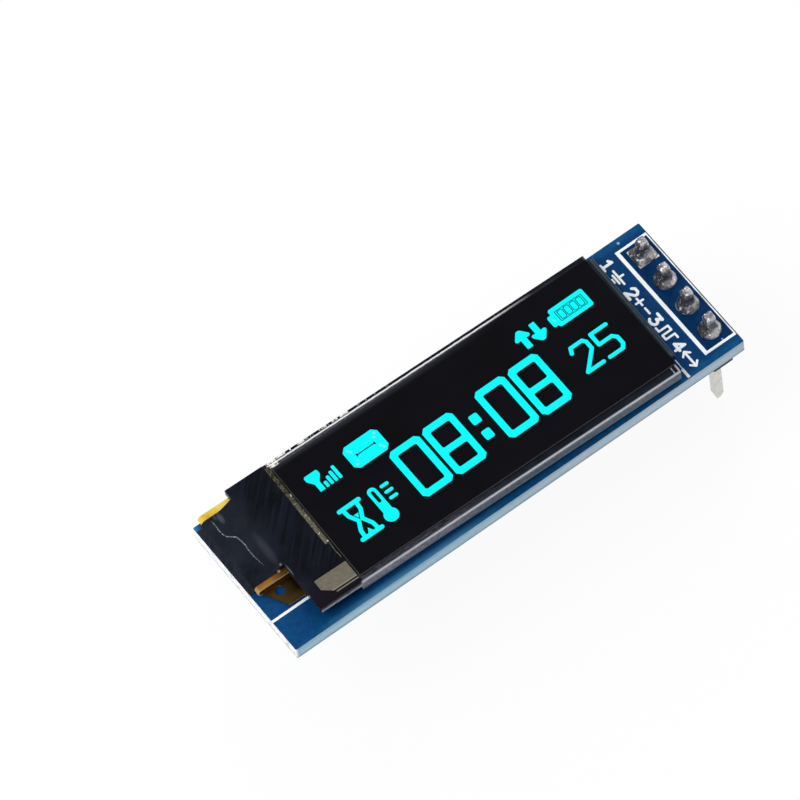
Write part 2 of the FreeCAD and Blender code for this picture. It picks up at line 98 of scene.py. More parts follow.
# Marks on the board: where a tone fades in, along X, Y or both
BOARD_RIM_Y = (5.25, 5.7)
BOARD_FLEX_END_X = (-33.5, -36)
BOARD_CORNER = ((-36.2, -36.7), (5, 5.6))
HEADER_COPPER = ((-1.3, 1.1), (-5, 4.9))
BOARD_GLARE = ((-30, -24), (-5.5, -6))
CYAN_SIDE_X = (-14, -24)
WORN_END_X = (-36.55, -36.68)
PRINT_RIM_X = (1.17, 1.2)
TENTED_HOLES = ((-0.8, 5.6, 0.11), (0.2, -4.95, 0.07))

# Marks and painted highlights on the glass, on the panel
LEDGE_X = (-11.6, -11.7)
LEDGE_SIDE_X = (-11.5, -11.7)
LEDGE_END_X = (-14.93, -14.97)
LEDGE_SIDE_Z = (LEDGE_TOP - 0.16, LEDGE_TOP - 0.34)
GLASS_EDGE_HIGHLIGHT_Z = (LEDGE_TOP - 0.2, LEDGE_TOP - 0.1)
GLASS_JOINT_Z = (LEDGE_TOP - 0.53, LEDGE_TOP - 0.47)
GLASS_LOW_Z = (LEDGE_TOP - 0.75, LEDGE_TOP - 0.95)
NEAR_HAZE = ((2, -5), (-5, -5.3))
NEAR_RIM_HIGHLIGHT = ((-11.65, -11.5), (-5.64, -5.70))
NEAR_CORNER_Y = (-4.6, -5)
NEAR_CORNER_GLINT_X = (14.55, 14.61)
HEADER_END_X = (14.86, 14.92)
HEADER_END_GLINT_X = (14.86, 14.9)
FAR_HAZE_Y = (5.2, 5.4)
FAR_HIGHLIGHT_Y = (5.44, 5.53)
FAR_RIM_Y = (5.62, 5.95)
FAR_CORNER_X = (-13, -10.9)
FILM_RIM = ((8, -2), (4.75, 5.19))
FILM_LEDGE_EDGE_X = (-11.2, -11.3)

# Marks on the adhesive, on the panel
ADHESIVE_SHADOW_X = (15.47, 15.4)
ADHESIVE_DARK_X = (15.61, 15.64)
ADHESIVE_RIM_X = (15.66, 15.69)

# Tape: its streaks' turn, its marks, painted sheen and light, and the ridge along its fold with its painted
# highlight, on the panel
TAPE_STREAK_TURN = 47
TAPE_FOLD_SHEEN_X = (-14, -15)
TAPE_LOWER_LIGHT_Z = (3.9, 3.7)
TAPE_LINES = (
    # reach along X and along Y, softness along Y, share, tone
    ((-13.1, -11.6), (-5.25, -5.2), 0.01, 1, (12, 11, 13)),
    ((-13.3, -11.6), (-5.33, -5.27), 0.02, 0.85, (140, 138, 128)),
)
TAPE_FACE = 4.15
# Paler scuffs and painted sheen by the fold; the third is a painted glint
TAPE_SCUFFS_AND_SHEEN = (
    # place on the panel, half sizes, share, tone
    ((-15.3, 0.4), (0.4, 1.9), 0.22, (84, 84, 98)),
    ((-14.98, -2), (0.1, 0.7), 0.7, (112, 114, 124)),
    ((-15.2, -1.25), (0.12, 0.14), 0.5, (150, 150, 158)),
    ((-16.3, 4.45), (0.26, 0.65), 0.5, (92, 98, 106)),
    ((-16.6, 4.72), (0.16, 0.34), 0.35, (86, 92, 100)),
)
CREASE_WIDTH = 0.1
CREASE_HEIGHT = 0.03
CREASE_WAVER = 3
CREASE_END = 0.3
CREASE_LINE = ((-16.93, 4.7), (-16.89, 4.18), (-16.93, 3.76), (-16.88, 3.27), (-16.75, 2.98),
               (-16.45, 2.74), (-16.25, 2.54), (-16.19, 2.19), (-16.12, 1.69), (-16.18, 1.37),
               (-16.17, 0.69), (-16.08, -0.01), (-16.02, -0.61), (-15.98, -1.12))

# Marks, painted highlights and painted shade on the contact patch and the flex, on the panel
PATCH_DARK_Y = (-5.1, -5.13)
PATCH_HIGHLIGHT_Y = (-5.08, -5.04)
FLEX_CREST_SHADE_X = (-16.3, -15.3)
FLEX_CREST_SHADE_Z = (3.7, 3.9)
FLEX_WING_Y = (-1.2, -1.9)
FLEX_WING_Z = (3.7, 3.55)
FLEX_BACKLIT_MARGIN_Y = (4.7, 4.9)
FLEX_GLINT = ((-15.47, -1.31), (0.15, 0.14))

# Resin beside the film, on the panel
RESIN_BLOTCHED_Y = (0.8, 2.4)
RESIN_SPECKS_Y = (-1.2, 2.8)
RESIN_RUN = ((-11.62, -1.95), (-11.66, -2.6), (-11.62, -3.3))
RESIN_RUN_WIDTH = 0.06
RESIN_RUN_HEIGHT = 0.08
DROP_PLACE = (-11.66, -1.74)
DROP_RADIUS = 0.1

# The lit picture, turned and shifted on the panel
PICTURE_TURN = 1.4
PICTURE_SHIFT = (0.05, 0.02)
PICTURE_LIFT = 0.006
PICTURE_THICKNESS = 0.012
PIXEL_PITCH = 0.175
PIXEL_GAP = 0.012
AERIAL = [(-10.22, 3.3), (-10.22, 3), (-9.88, 2.5), (-9.88, 1.78), (-9.47, 1.78), (-9.47, 2.5),
          (-9.1, 2.98), (-9.1, 3.3), (-9.2, 3.4), (-10.12, 3.4)]
SIGNAL_FOOT = 1.78
SIGNAL_BAR = 0.25
SIGNAL_BARS = ((-9.34, 2.3), (-8.98, 2.54), (-8.62, 2.72), (-8.26, 2.96))
ENVELOPE = (-7, -4.08, 1.56, 3.55)
ENVELOPE_CUT = 0.33
FLAP_LINE = (-6.2, -4.9, 2.49, 2.575)
FLAP_POINTS = ((-6.34, 0.22), (-4.75, -0.22))
FLAP_POINT_Y = 2.53
FLAP_POINT_HALF = 0.16
DIGIT_STROKE = (0.485, 0.55)
DIGIT_CUT = 0.3
OPENING_CUT = 0.1
DIGITS = (
    # left, right, lower and upper edge, and the bar's lower and upper edge
    (-4.69, -2.135, -3.16, 1.27, None),
    (-1.895, 0.675, -3.21, 1.3, (-1.32, -0.79)),
    (2.585, 5.135, -3.215, 1.325, None),
    (5.405, 7.935, -3.225, 1.305, (-1.32, -0.81)),
)
COLON_X = (1.275, 1.975)
COLON_DOTS_Y = ((-0.74, 0.08), (-2.21, -1.39))
COLON_CORNER = 0.15
# Half of an arrow's outline: distance from its middle line, distance from its tail
ARROW_HALF = ((0.18, 0), (0.23, 0.05), (0.23, 0.84), (0.47, 0.82), (0.6, 0.91), (0.57, 1.06),
              (0.18, 1.55), (0.08, 1.61))
# Middle line, tail and way of each arrow
ARROWS = ((7.93, 1.73, 1), (9.05, 3.25, -1))
BATTERY_CASE = (10.47, 13.37, 1.71, 3.31)
BATTERY_CAP = (10.12, 10.6, 1.93, 2.89)
BATTERY_PANEL = (10.8, 13.1, 2.03, 2.97)
BATTERY_LINE = 0.055
CELLS_X = (11.17, 11.69, 12.21, 12.73)
CELL_HALF = (0.235, 0.39)
LEVEL_STROKE = 0.3
LEVEL_DIGITS = (
    ((9.8, -0.45), (9.98, -0.05), (10.95, -0.05), (11.13, -0.3), (11.13, -0.95), (9.8, -2.3),
     (11.14, -2.3)),
    ((12.98, -0.05), (11.68, -0.05), (11.68, -1.05), (12.75, -1.05), (13.02, -1.35), (13.02, -2),
     (12.78, -2.3), (11.68, -2.3)),
)
HOURGLASS_CAPS_Y = (-0.28, -3)
HOURGLASS_CAP_X = (-9.85, -8.25)
HOURGLASS_CAP_STROKE = 0.34
HOURGLASS_MIDDLE = -9.05
HOURGLASS_HALF = ((0.55, -0.3), (0.5, -0.95), (0.15, -1.64), (0.5, -2.35), (0.55, -2.95))
HOURGLASS_STROKE = 0.3
SAND = ([(-9.3, -2.9), (-8.8, -2.9), (-9.05, -2.45)], [(-9.25, -1.1), (-8.85, -1.1), (-9.05, -1.45)])
TUBE_X = -7.2
TUBE_Y = (-0.45, -2.5)
TUBE_WIDTH = 0.72
BULB_Y = -2.66
BULB_RADIUS = 0.55
BORE_Y = (-0.5, -1.3)
FINE_STROKE = 0.26
TICKS_X = (-6.45, -6)
TICKS_Y = (-0.5, -1.05, -1.6)
# Faint dots along the envelope's folds and in the battery's cap, on the panel
FAINT_DOTS = ((-6.66, 3.03), (-6.5, 2.84), (-4.58, 2.04), (-4.44, 1.82), (-4.41, 3.1), (-4.6, 2.83),
              (-6.48, 2.05), (-6.67, 1.77), (10.44, 2.7))
FAINT_DOT_HALF = (0.14, 0.14)

# Print on the board: numbers and signs on a baseline beside the header, read towards the near side
PRINT_THICKNESS = 0.03
LABEL_BASE = -2.95
LABEL_HEIGHT = 1
LABEL_STROKE = 0.21
SIGN_STROKE = 0.16
SIGN_SHIFT = 0.88
LABEL_STARTS = (5.02, 2.17, -0.53, -3.18)
NUMERALS = (
    [[(0.12, 0.8), (0.36, 1), (0.36, 0)], [(0.1, 0), (0.62, 0)]],
    [[(0.03, 0.76), (0.18, 1), (0.5, 1), (0.66, 0.8), (0.62, 0.58), (0.03, 0), (0.66, 0)]],
    [[(0.03, 1), (0.62, 1), (0.34, 0.6), (0.56, 0.54), (0.66, 0.34), (0.6, 0.12), (0.42, 0),
      (0.18, 0), (0.03, 0.14)]],
    [[(0.5, 0), (0.5, 1), (0.02, 0.3), (0.68, 0.3)]],
)
SIGNS = (
    [[(0.75, 1), (0.75, 0.56)], [(0.1, 0.56), (1.4, 0.56)], [(0.35, 0.28), (1.15, 0.28)],
     [(0.6, 0), (0.9, 0)]],
    [[(0, 0.5), (0.66, 0.5)], [(0.33, 0.14), (0.33, 0.86)], [(0.98, 0.5), (1.5, 0.5)]],
    [[(0, 0.05), (0.35, 0.05), (0.35, 0.95), (0.75, 0.95), (0.75, 0.05), (1.15, 0.05), (1.15, 0.95),
      (1.5, 0.95)]],
    [[(0.05, 0.5), (1.45, 0.5)], [(0.35, 0.86), (0.05, 0.5), (0.35, 0.14)],
     [(1.15, 0.86), (1.45, 0.5), (1.15, 0.14)]],
)
# Sliver of the line at the panel's end that shows beside the adhesive
SLIVER_LINE = ((-3.33, -5.15), (-3.3, -4.25))
SLIVER_WIDTH = 0.06

# Solder: the joint's profile, how far noise pushes it, and where it turns square
SOLDER_STEPS = 56
SOLDER_PROFILE = (
    # radius, height over the board
    (0, -1.24), (0.495, -1.24), (0.495, 0.035), (0.80, 0.04), (0.815, 0.08), (0.78, 0.17), (0.70, 0.29),
    (0.60, 0.43), (0.52, 0.58), (0.46, 0.74), (0.42, 0.9), (0.395, 1.08), (0.385, 1.3), (0.38, 1.5),
    (0.37, 1.68), (0.34, 1.8), (0.25, 1.87), (0.12, 1.9), (0, 1.9),
)
SOLDER_ROUGHNESS = 0.05
SOLDER_PUSH = 2.2
SOLDER_SMOOTH_BELOW = 0.05
SOLDER_LUMPS = (2.4, 2.4, 2)
SOLDER_SEED_STEP = 7.3
SOLDER_LIFT_SCALE = 1.3
SOLDER_LIFT_SEED = (5, 1, 2)
SOLDER_LEAN = 0.03
SOLDER_LEAN_HEIGHT = 1.7
SOLDER_LEAN_TURN = 2.1
CALM_RADIUS = 0.4
NECK_SQUARE = (0.4, 0.5)
FOOT_SQUARE_FROM = 0.03
FOOT_SQUARE_LOSS = 2.2
SQUARE_POWER = 5
SOLDER_NECK_Z = (BOARD_TOP + 0.75, BOARD_TOP + 1.25)

# Each material with the CAD nodes that wear it, numbered nodes by the name without the number
WORN_BY = {
    "tinned": "pin_pad flex_fingers board_lands capacitor_ends resistor_ends back_lands",
    "moulding": "header_insulator resistor_glaze regulator_body diode_body",
    "pin": "header_pin regulator_leads diode_leads", "solder": "pin_solder back_solder",
    "glass": "panel_upper_glass panel_lower_glass", "seal": "panel_seal bond_film",
    "board": "circuit_board", "print": "board_print", "layers": "pixel_layers", "sheet": "desiccant_sheet",
    "polariser": "polariser", "silicon": "driver_chip", "flex": "flex_tail", "tape": "black_tape",
    "patch": "contact_patch", "resin": "resin_bead", "adhesive": "panel_adhesive", "tan": "capacitor",
    "ceramic": "resistor",
}


# Colours and node graphs

def srgb(red, green, blue):
    """A tone of 0 to 255 on screen as the linear colour that shaders take."""
    linear = []
    for value in (red, green, blue):
        v = value / 255
        linear.append(v / 12.92 if v <= 0.04045 else ((v + 0.055) / 1.055) ** 2.4)
    return (*linear, 1)


class Graph:
    """A node material, or a world, that is built up one node at a time."""

    def __init__(self, name, library=bpy.data.materials):
        self.block = library.new(name)
        self.block.use_nodes = True
        self.tree = self.block.node_tree
        self.tree.nodes.clear()

    def add(self, kind, inputs=None, **settings):
        """Add a node; an input is a value or another node's socket."""
        node = self.tree.nodes.new(kind)
        for key, value in settings.items():
            setattr(node, key, value)
        for socket, value in (inputs or {}).items():
            if isinstance(value, bpy.types.NodeSocket):
                self.tree.links.new(value, node.inputs[socket])
            else:
                node.inputs[socket].default_value = value
        return node

    def place(self, origin=(0, 0, 0), turn=0, stretch=(1, 1, 1)):
        """Millimetres in a frame with its origin and its turn about Z in the part's frame."""
        at = self.add("ShaderNodeTexCoord").outputs["Object"]
        inputs = {"Vector": at, "Location": [MM * v for v in origin], "Rotation": (0, 0, radians(turn)),
                  "Scale": [MM * s for s in stretch]}
        return self.add("ShaderNodeMapping", inputs, vector_type="TEXTURE").outputs["Vector"]

    def on_panel(self, turn=0, stretch=(1, 1, 1)):
        """Place on the panel."""
        return self.place((*PANEL_CENTRE, 0), PANEL_TURN + turn, stretch)

    def axes(self, vector):
        """The three parts of a vector."""
        split = self.add("ShaderNodeSeparateXYZ", {"Vector": vector})
        return split.outputs["X"], split.outputs["Y"], split.outputs["Z"]

    def normal(self):
        """The three parts of the surface's direction."""
        return self.axes(self.add("ShaderNodeTexCoord").outputs["Normal"])

    def normal_up(self):
        """How far the surface faces up or down: 1 flat, 0 upright."""
        return self.math("ABSOLUTE", self.normal()[2])

    def flat(self):
        """1 on flat faces, 0 on upright ones."""
        return self.fade(self.normal_up(), 0.5, 0.7)

    def math(self, operation, a, b=0):
        """Result of one arithmetic node."""
        return self.add("ShaderNodeMath", {0: a, 1: b}, operation=operation).outputs[0]

    def times(self, a, b):
        """Product of two values."""
        return self.math("MULTIPLY", a, b)

    def noise(self, vector, scale, detail=3, roughness=0.55):
        """Cloudy value of about 0.25 to 0.75."""
        inputs = {"Vector": vector, "Scale": scale, "Detail": detail, "Roughness": roughness}
        return self.add("ShaderNodeTexNoise", inputs).outputs["Fac"]

    def fade(self, value, low, high):
        """0 below low, 1 above high, and even in between; low may be the greater."""
        inputs = {"Value": value, "From Min": low, "From Max": high}
        return self.add("ShaderNodeMapRange", inputs, clamp=True).outputs["Result"]

    def band(self, value, start, end, soft):
        """1 between start and end, falling to 0 within soft outside."""
        rise = self.fade(value, start - soft, start)
        fall = self.fade(value, end + soft, end)
        return self.times(rise, fall)

    def zone(self, x, y, reach):
        """A fade along X times a fade along Y."""
        return self.times(self.fade(x, *reach[0]), self.fade(y, *reach[1]))

    def mix(self, share, a, b):
        """Colour a where share is 0, colour b where it is 1."""
        return self.add("ShaderNodeMix", {0: share, 6: a, 7: b}, data_type="RGBA").outputs[2]

    def tones(self, share, dark, light):
        """Mix of two tones."""
        return self.mix(share, srgb(*dark), srgb(*light))

    def tint(self, share, colour, tone, most=1):
        """A colour with a tone over it where share is 1, at most that share of it."""
        if most < 1:
            share = self.times(share, most)
        return self.mix(share, colour, srgb(*tone))

    def glint(self, colour, centre, half, most, tone):
        """A colour with a spot of a tone on it, at a place on the panel, softest at its rim."""
        tall = 10
        inputs = {"Vector": self.on_panel(), "Location": (*centre, 0), "Scale": (*half, tall)}
        spot = self.add("ShaderNodeMapping", inputs, vector_type="TEXTURE").outputs["Vector"]
        near = self.add("ShaderNodeTexGradient", {"Vector": spot}, gradient_type="SPHERICAL").outputs["Fac"]
        return self.mix(self.times(self.fade(near, 0, 0.5), most), colour, srgb(*tone))

    def bump(self, height, strength, distance):
        """Small relief, its distance in millimetres."""
        inputs = {"Height": height, "Strength": strength, "Distance": distance * MM}
        return self.add("ShaderNodeBump", inputs).outputs["Normal"]

    def seen(self):
        """1 for what the camera, a reflection or clear glass shows, 0 for light on the object."""
        path = self.add("ShaderNodeLightPath").outputs
        rays = self.math("ADD", path["Is Camera Ray"], path["Is Glossy Ray"])
        rays = self.math("ADD", rays, path["Is Transmission Ray"])
        return self.math("MINIMUM", rays, 1)

    def finish(self, colour, roughness, specular=0.5, normal=None, **others):
        """Close the graph with the surface shader; others use its socket names with _ for a space."""
        values = {"Base Color": colour, "Roughness": roughness, "Specular IOR Level": specular}
        values.update({key.replace("_", " "): value for key, value in others.items()})
        if normal:
            values["Normal"] = normal
        shader = self.add("ShaderNodeBsdfPrincipled", values)
        self.add("ShaderNodeOutputMaterial", {"Surface": shader.outputs[0]})
        return self.block


# Materials

def board_material():
    """Blue solder mask over copper and laminate on the faces, pale laminate on the cut edges."""
    g = Graph("board")
    at = g.place()
    x, y, z = g.axes(at)
    fine = g.noise(at, 2.6, 5, 0.65)
    flat = g.flat()
    colour = g.mix(flat, board_edge(g, x, z), board_mask(g, at, x, y, fine))
    rough = g.add("ShaderNodeMapRange", {"Value": flat, "To Min": 0.8, "To Max": 0.3}).outputs["Result"]
    return g.finish(colour, rough, 0.04, g.bump(fine, 0.2, 0.02))


def board_mask(g, at, x, y, fine):
    """The mask: cloudy blue, paler at the rims, darker over the header's copper, with pale specks."""
    cloud = g.noise(at, 0.35, 2)
    shade = g.fade(fine, 0.3, 0.7)
    blue = g.tones(shade, (3, 48, 97), (12, 66, 116))
    blue = g.tint(g.fade(cloud, 0.4, 0.65), blue, (6, 60, 108))
    rim = g.fade(g.math("ABSOLUTE", y), *BOARD_RIM_Y)
    blue = g.mix(rim, blue, g.tones(shade, (8, 66, 114), (20, 84, 132)))
    blue = g.mix(g.fade(x, *BOARD_FLEX_END_X), blue, g.tones(shade, (8, 60, 110), (18, 76, 128)))
    blue = g.tint(g.zone(x, y, BOARD_CORNER), blue, (64, 118, 164))
    copper = g.times(g.band(y, *HEADER_COPPER[1], 0.15), g.band(x, *HEADER_COPPER[0], 0.2))
    blue = g.mix(copper, blue, g.tones(shade, (2, 40, 80), (6, 52, 98)))
    glare = g.times(g.fade(y, *BOARD_GLARE[1]), g.band(x, *BOARD_GLARE[0], 5))
    blue = g.tint(glare, blue, (80, 140, 182), 0.75)
    specks = g.fade(g.noise(at, 9, 2, 0.8), 0.7, 0.78)
    return g.tint(specks, blue, (64, 120, 160), 0.3)


def board_edge(g, x, z):
    """The cut sides: laminate in plies, cyan along the flex's half, worn white at the flex's end."""
    plies = g.fade(g.noise(g.place(stretch=(5, 5, 0.3)), 2, 4, 0.7), 0.3, 0.7)
    long_side = g.tones(plies, (140, 160, 178), (190, 204, 218))
    cyan_side = g.tones(plies, (124, 170, 196), (158, 198, 218))
    edge = g.mix(g.fade(x, *CYAN_SIDE_X), long_side, cyan_side)
    middle = g.band(z, BOARD_BACK + 0.4, BOARD_BACK + 0.75, 0.4)
    edge = g.tint(middle, edge, (206, 230, 246), 0.45)
    worn = g.fade(g.noise(g.place(stretch=(1, 0.8, 0.4)), 1.2, 4, 0.7), 0.32, 0.5)
    edge = g.mix(g.fade(x, *WORN_END_X), edge, g.tones(worn, (176, 186, 200), (250, 250, 252)))
    lower = g.fade(z, BOARD_BACK + 0.2, BOARD_BACK + 0.05)
    return g.tint(lower, edge, (104, 124, 152), 0.6)


def print_material():
    """White printed ink, a little uneven."""
    g = Graph("print")
    at = g.place()
    grain = g.noise(at, 7, 4, 0.7)
    colour = g.tones(g.fade(grain, 0.3, 0.75), (242, 250, 255), (253, 255, 255))
    colour = g.tint(g.fade(g.axes(at)[0], *PRINT_RIM_X), colour, (24, 40, 66))
    return g.finish(colour, 0.6, 0.1, g.bump(grain, 0.3, 0.01))


def metal_material(name, dark, light, scale, roughness, metallic=1):
    """Plated or tinned metal with cloudy grain."""
    g = Graph(name)
    grain = g.noise(g.place(), scale, 4, 0.6)
    colour = g.tones(g.fade(grain, 0.3, 0.7), dark, light)
    inputs = {"Value": grain, "From Min": 0.3, "From Max": 0.7, "To Min": roughness,
              "To Max": roughness + 0.15}
    rough = g.add("ShaderNodeMapRange", inputs).outputs["Result"]
    return g.finish(colour, rough, normal=g.bump(grain, 0.15, 0.02), Metallic=metallic)


def solder_material():
    """Hand-soldered joint: mottled, with painted light brighter towards one side, darker round the neck, and
    painted glints.
    """
    g = Graph("solder")
    at = g.place()
    coarse = g.noise(at, 1.7, 3, 0.6)
    fine = g.noise(at, 3.4, 3, 0.65)
    glint_noise = g.noise(g.place(origin=(3, 1, 2)), 4, 3, 0.7)
    # Painted light: brighter where the faces turn towards +X and -Y, as a lamp's reflection, with noise in
    # it
    east, north = g.normal()[:2]
    lean = g.math("SUBTRACT", east, north)
    lean = g.math("ADD", lean, g.times(g.math("SUBTRACT", coarse, 0.5), 2.5))
    colour = g.tones(g.fade(lean, -0.6, 1), (88, 82, 86), (204, 200, 203))
    colour = g.tint(g.fade(fine, 0.5, 0.6), colour, (46, 41, 45), 0.55)
    colour = g.tint(g.band(g.axes(at)[2], *SOLDER_NECK_Z, 0.2), colour, (36, 31, 35), 0.65)
    # Painted glints: near-white specks
    colour = g.tint(g.fade(glint_noise, 0.58, 0.63), colour, (252, 250, 253))
    return g.finish(colour, 0.3, normal=g.bump(coarse, 0.7, 0.12), Metallic=0.7)


def moulding_material():
    """Black moulded plastic with a fine spark-eroded grain."""
    g = Graph("moulding")
    grain = g.noise(g.place(), 14, 3, 0.6)
    colour = g.tones(g.fade(grain, 0.3, 0.7), (26, 26, 29), (42, 42, 46))
    return g.finish(colour, 0.55, 0.2, g.bump(grain, 0.35, 0.01))


def glass_material():
    """Cut plate glass: dark where the layers under it show, uneven along its cut sides, with painted
    highlights and glints.
    """
    g = Graph("plate_glass")
    at = g.on_panel()
    x, y, z = g.axes(at)
    chips = g.noise(g.on_panel(stretch=(0.45, 0.2, 0.3)), 1.4, 5, 0.7)
    cloud = g.noise(at, 0.8)
    fine = g.noise(at, 5, 3, 0.8)
    top = g.tones(g.fade(cloud, 0.35, 0.65), (13, 19, 27), (26, 33, 43))
    top = far_margin(g, top, x, y, chips, fine)
    top = near_margin(g, top, x, y, chips)
    colour = g.mix(g.flat(), glass_side(g, x, z, chips, fine), top)
    return g.finish(colour, 0.12, 0.05, g.bump(chips, 0.08, 0.05))


def far_margin(g, top, x, y, chips, fine):
    """The glass beyond the film on the far side: grey haze, a painted highlight line, a ragged dark rim,
    painted glints.
    """
    haze = g.times(g.band(y, *FAR_HAZE_Y, 0.22), g.fade(x, 15, -2))
    top = g.mix(haze, top, g.tones(g.fade(chips, 0.35, 0.6), (50, 52, 58), (80, 81, 87)))
    wander = g.math("ADD", y, g.times(g.math("SUBTRACT", chips, 0.5), 0.1))
    # Painted highlight: a bright line along the far edge
    bright = g.times(g.band(wander, *FAR_HIGHLIGHT_Y, 0.03), g.fade(x, 10.5, 6.5))
    top = g.tint(bright, top, (226, 226, 230))
    rim = g.band(wander, *FAR_RIM_Y, 0.02)
    top = g.tint(rim, top, (20, 19, 20))
    # Painted glints: near-white breaks in the dark rim
    broken = g.noise(g.on_panel(stretch=(0.7, 8, 8)), 2.2, 3, 0.7)
    rim_glints = g.times(g.fade(broken, 0.5, 0.56), g.fade(x, -1, -5))
    top = g.tint(g.times(rim_glints, rim), top, (236, 234, 230))
    # Painted highlights: white blocks by the far corner near the ledge
    corner = g.times(g.band(x, *FAR_CORNER_X, 0.1), g.fade(y, 5.2, 5.26))
    glint_blocks = g.noise(g.on_panel(stretch=(1.6, 0.7, 1)), 4.5, 2, 0.8)
    top = g.tint(g.times(corner, g.fade(glint_blocks, 0.46, 0.5)), top, (246, 244, 236))
    return g.tint(g.times(corner, g.fade(fine, 0.6, 0.64)), top, (70, 66, 50))


def near_margin(g, top, x, y, chips):
    """The glass beyond the film on the near side with a painted highlight at its rim, the ledge, and the
    header's end with painted highlight lines.
    """
    grainy = g.noise(g.on_panel(stretch=(1.2, 0.25, 1)), 2, 4, 0.75)
    haze = g.tones(g.fade(grainy, 0.36, 0.62), (24, 25, 32), (74, 74, 84))
    top = g.mix(g.zone(x, y, NEAR_HAZE), top, haze)
    # Painted highlight along the glass's near top edge
    top = g.tint(g.zone(x, y, NEAR_RIM_HIGHLIGHT), top, (168, 172, 180))
    top = g.tint(g.fade(x, *LEDGE_X), top, (30, 29, 36))
    end_grey = g.tones(g.fade(chips, 0.35, 0.6), (40, 50, 58), (84, 94, 102))
    top = g.mix(g.fade(x, *HEADER_END_X), top, end_grey)
    # Painted highlights: pale lines at the near corner by the header's end
    corner = g.times(g.fade(y, *NEAR_CORNER_Y), g.fade(chips, 0.36, 0.46))
    lines = g.math("ADD", g.band(x, *NEAR_CORNER_GLINT_X, 0.02), g.fade(x, *HEADER_END_GLINT_X))
    return g.tint(g.times(corner, lines), top, (160, 163, 170))


def glass_side(g, x, z, chips, fine):
    """The cut sides: violet to cool grey, a painted highlight on the upper edge, the joint, a duller ledge,
    painted glints.
    """
    uneven = g.fade(chips, 0.35, 0.62)
    speckled = g.fade(chips, 0.35, 0.6)
    violet = g.tones(uneven, (100, 98, 110), (150, 148, 160))
    cool = g.tones(uneven, (80, 88, 100), (108, 118, 132))
    side = g.mix(g.fade(x, -8, 2), violet, cool)
    side = g.tint(g.fade(z, *GLASS_LOW_Z), side, (104, 120, 138))
    # Painted highlight along the upper edge of the cut sides
    bright = g.tones(g.fade(chips, 0.3, 0.6), (178, 184, 192), (214, 218, 226))
    side = g.mix(g.fade(z, *GLASS_EDGE_HIGHLIGHT_Z), side, bright)
    joint = g.times(g.band(z, *GLASS_JOINT_Z, 0.03), g.fade(x, -4, 3))
    side = g.tint(joint, side, (58, 61, 72), 0.75)
    lower = g.tones(speckled, (120, 118, 128), (170, 170, 180))
    dim = g.tones(speckled, (48, 47, 56), (74, 73, 82))
    ledge_side = g.mix(g.fade(z, *LEDGE_SIDE_Z), dim, lower)
    side = g.mix(g.fade(x, *LEDGE_SIDE_X), side, ledge_side)
    side = g.tint(g.fade(x, *LEDGE_END_X), side, (40, 39, 46))
    # Painted glints: near-white specks
    return g.tint(g.fade(fine, 0.74, 0.78), side, (244, 245, 247))


def polariser_material():
    """Nearly black film, smooth, with a paler cut edge."""
    g = Graph("polariser")
    at = g.on_panel()
    x, y = g.axes(at)[:2]
    cloud = g.noise(at, 0.22, 2)
    grain = g.noise(at, 11, 2, 0.6)
    black = g.tones(g.fade(cloud, 0.3, 0.7), (9, 8, 12), (14, 13, 19))
    black = g.tint(g.zone(x, y, FILM_RIM), black, (50, 54, 60), 0.85)
    edge = g.tones(g.fade(grain, 0.3, 0.7), (62, 66, 72), (96, 98, 104))
    edge = g.tint(g.fade(x, *FILM_LEDGE_EDGE_X), edge, (96, 95, 82))
    return g.finish(g.mix(g.flat(), edge, black), 0.22, 0.03, g.bump(grain, 0.02, 0.005))


def picture_material():
    """Lit pixels: cyan, with the fine grid of the pixels in it and a few faint dots."""
    g = Graph("lit_pixels")
    at = g.on_panel(turn=PICTURE_TURN)
    inputs = {"Vector": at, "Color1": srgb(0, 255, 255), "Color2": srgb(0, 250, 252), "Scale": 1,
              "Mortar": srgb(0, 232, 240), "Mortar Size": PIXEL_GAP, "Brick Width": PIXEL_PITCH,
              "Row Height": PIXEL_PITCH}
    lit = g.add("ShaderNodeTexBrick", inputs, offset=0).outputs["Color"]
    for spot in FAINT_DOTS:
        lit = g.glint(lit, spot, FAINT_DOT_HALF, 0.6, (160, 226, 232))
    return g.finish(srgb(0, 40, 42), 0.4, 0.05, Emission_Color=lit, Emission_Strength=1)


def tape_material():
    """Black tape with fine bluish streaks that slant across it, painted sheen towards the fold, painted
    light on its lower foot, and paler scuffs with painted sheen by the fold.
    """
    g = Graph("tape")
    at = g.on_panel()
    x, y, z = g.axes(at)
    streaks = g.noise(g.on_panel(turn=TAPE_STREAK_TURN, stretch=(5, 0.24, 1)), 1, 3, 0.6)
    cloud = g.noise(at, 0.45)
    cloudy = g.fade(cloud, 0.35, 0.65)
    colour = g.tones(cloudy, (9, 9, 14), (15, 17, 24))
    # Painted sheen: paler tones towards the fold
    colour = g.mix(g.fade(x, *TAPE_FOLD_SHEEN_X), colour, g.tones(cloudy, (18, 20, 27), (34, 38, 47)))
    # Painted light on the tape's lower foot, where it turns down
    colour = g.tint(g.fade(z, *TAPE_LOWER_LIGHT_Z), colour, (44, 48, 58))
    shown = g.times(g.fade(y, -4.6, -2.4), 0.75)
    inked = g.times(g.fade(streaks, 0.4, 0.68), g.fade(cloud, 0.25, 0.45))
    colour = g.tint(g.times(inked, shown), colour, (25, 30, 43))
    colour = g.tint(g.fade(y, -3.4, -4.4), colour, (22, 18, 27), 0.8)
    # Paler scuffs and painted sheen; one is a painted glint
    for centre, half, most, tone in TAPE_SCUFFS_AND_SHEEN:
        colour = g.glint(colour, centre, half, most, tone)
    for along, across, soft, most, tone in TAPE_LINES:
        line = g.times(g.band(y, *across, soft), g.band(x, *along, 0.1))
        colour = g.tint(line, colour, tone, most)
    return g.finish(colour, 0.5, 0.025, g.bump(streaks, 0.25, 0.02))


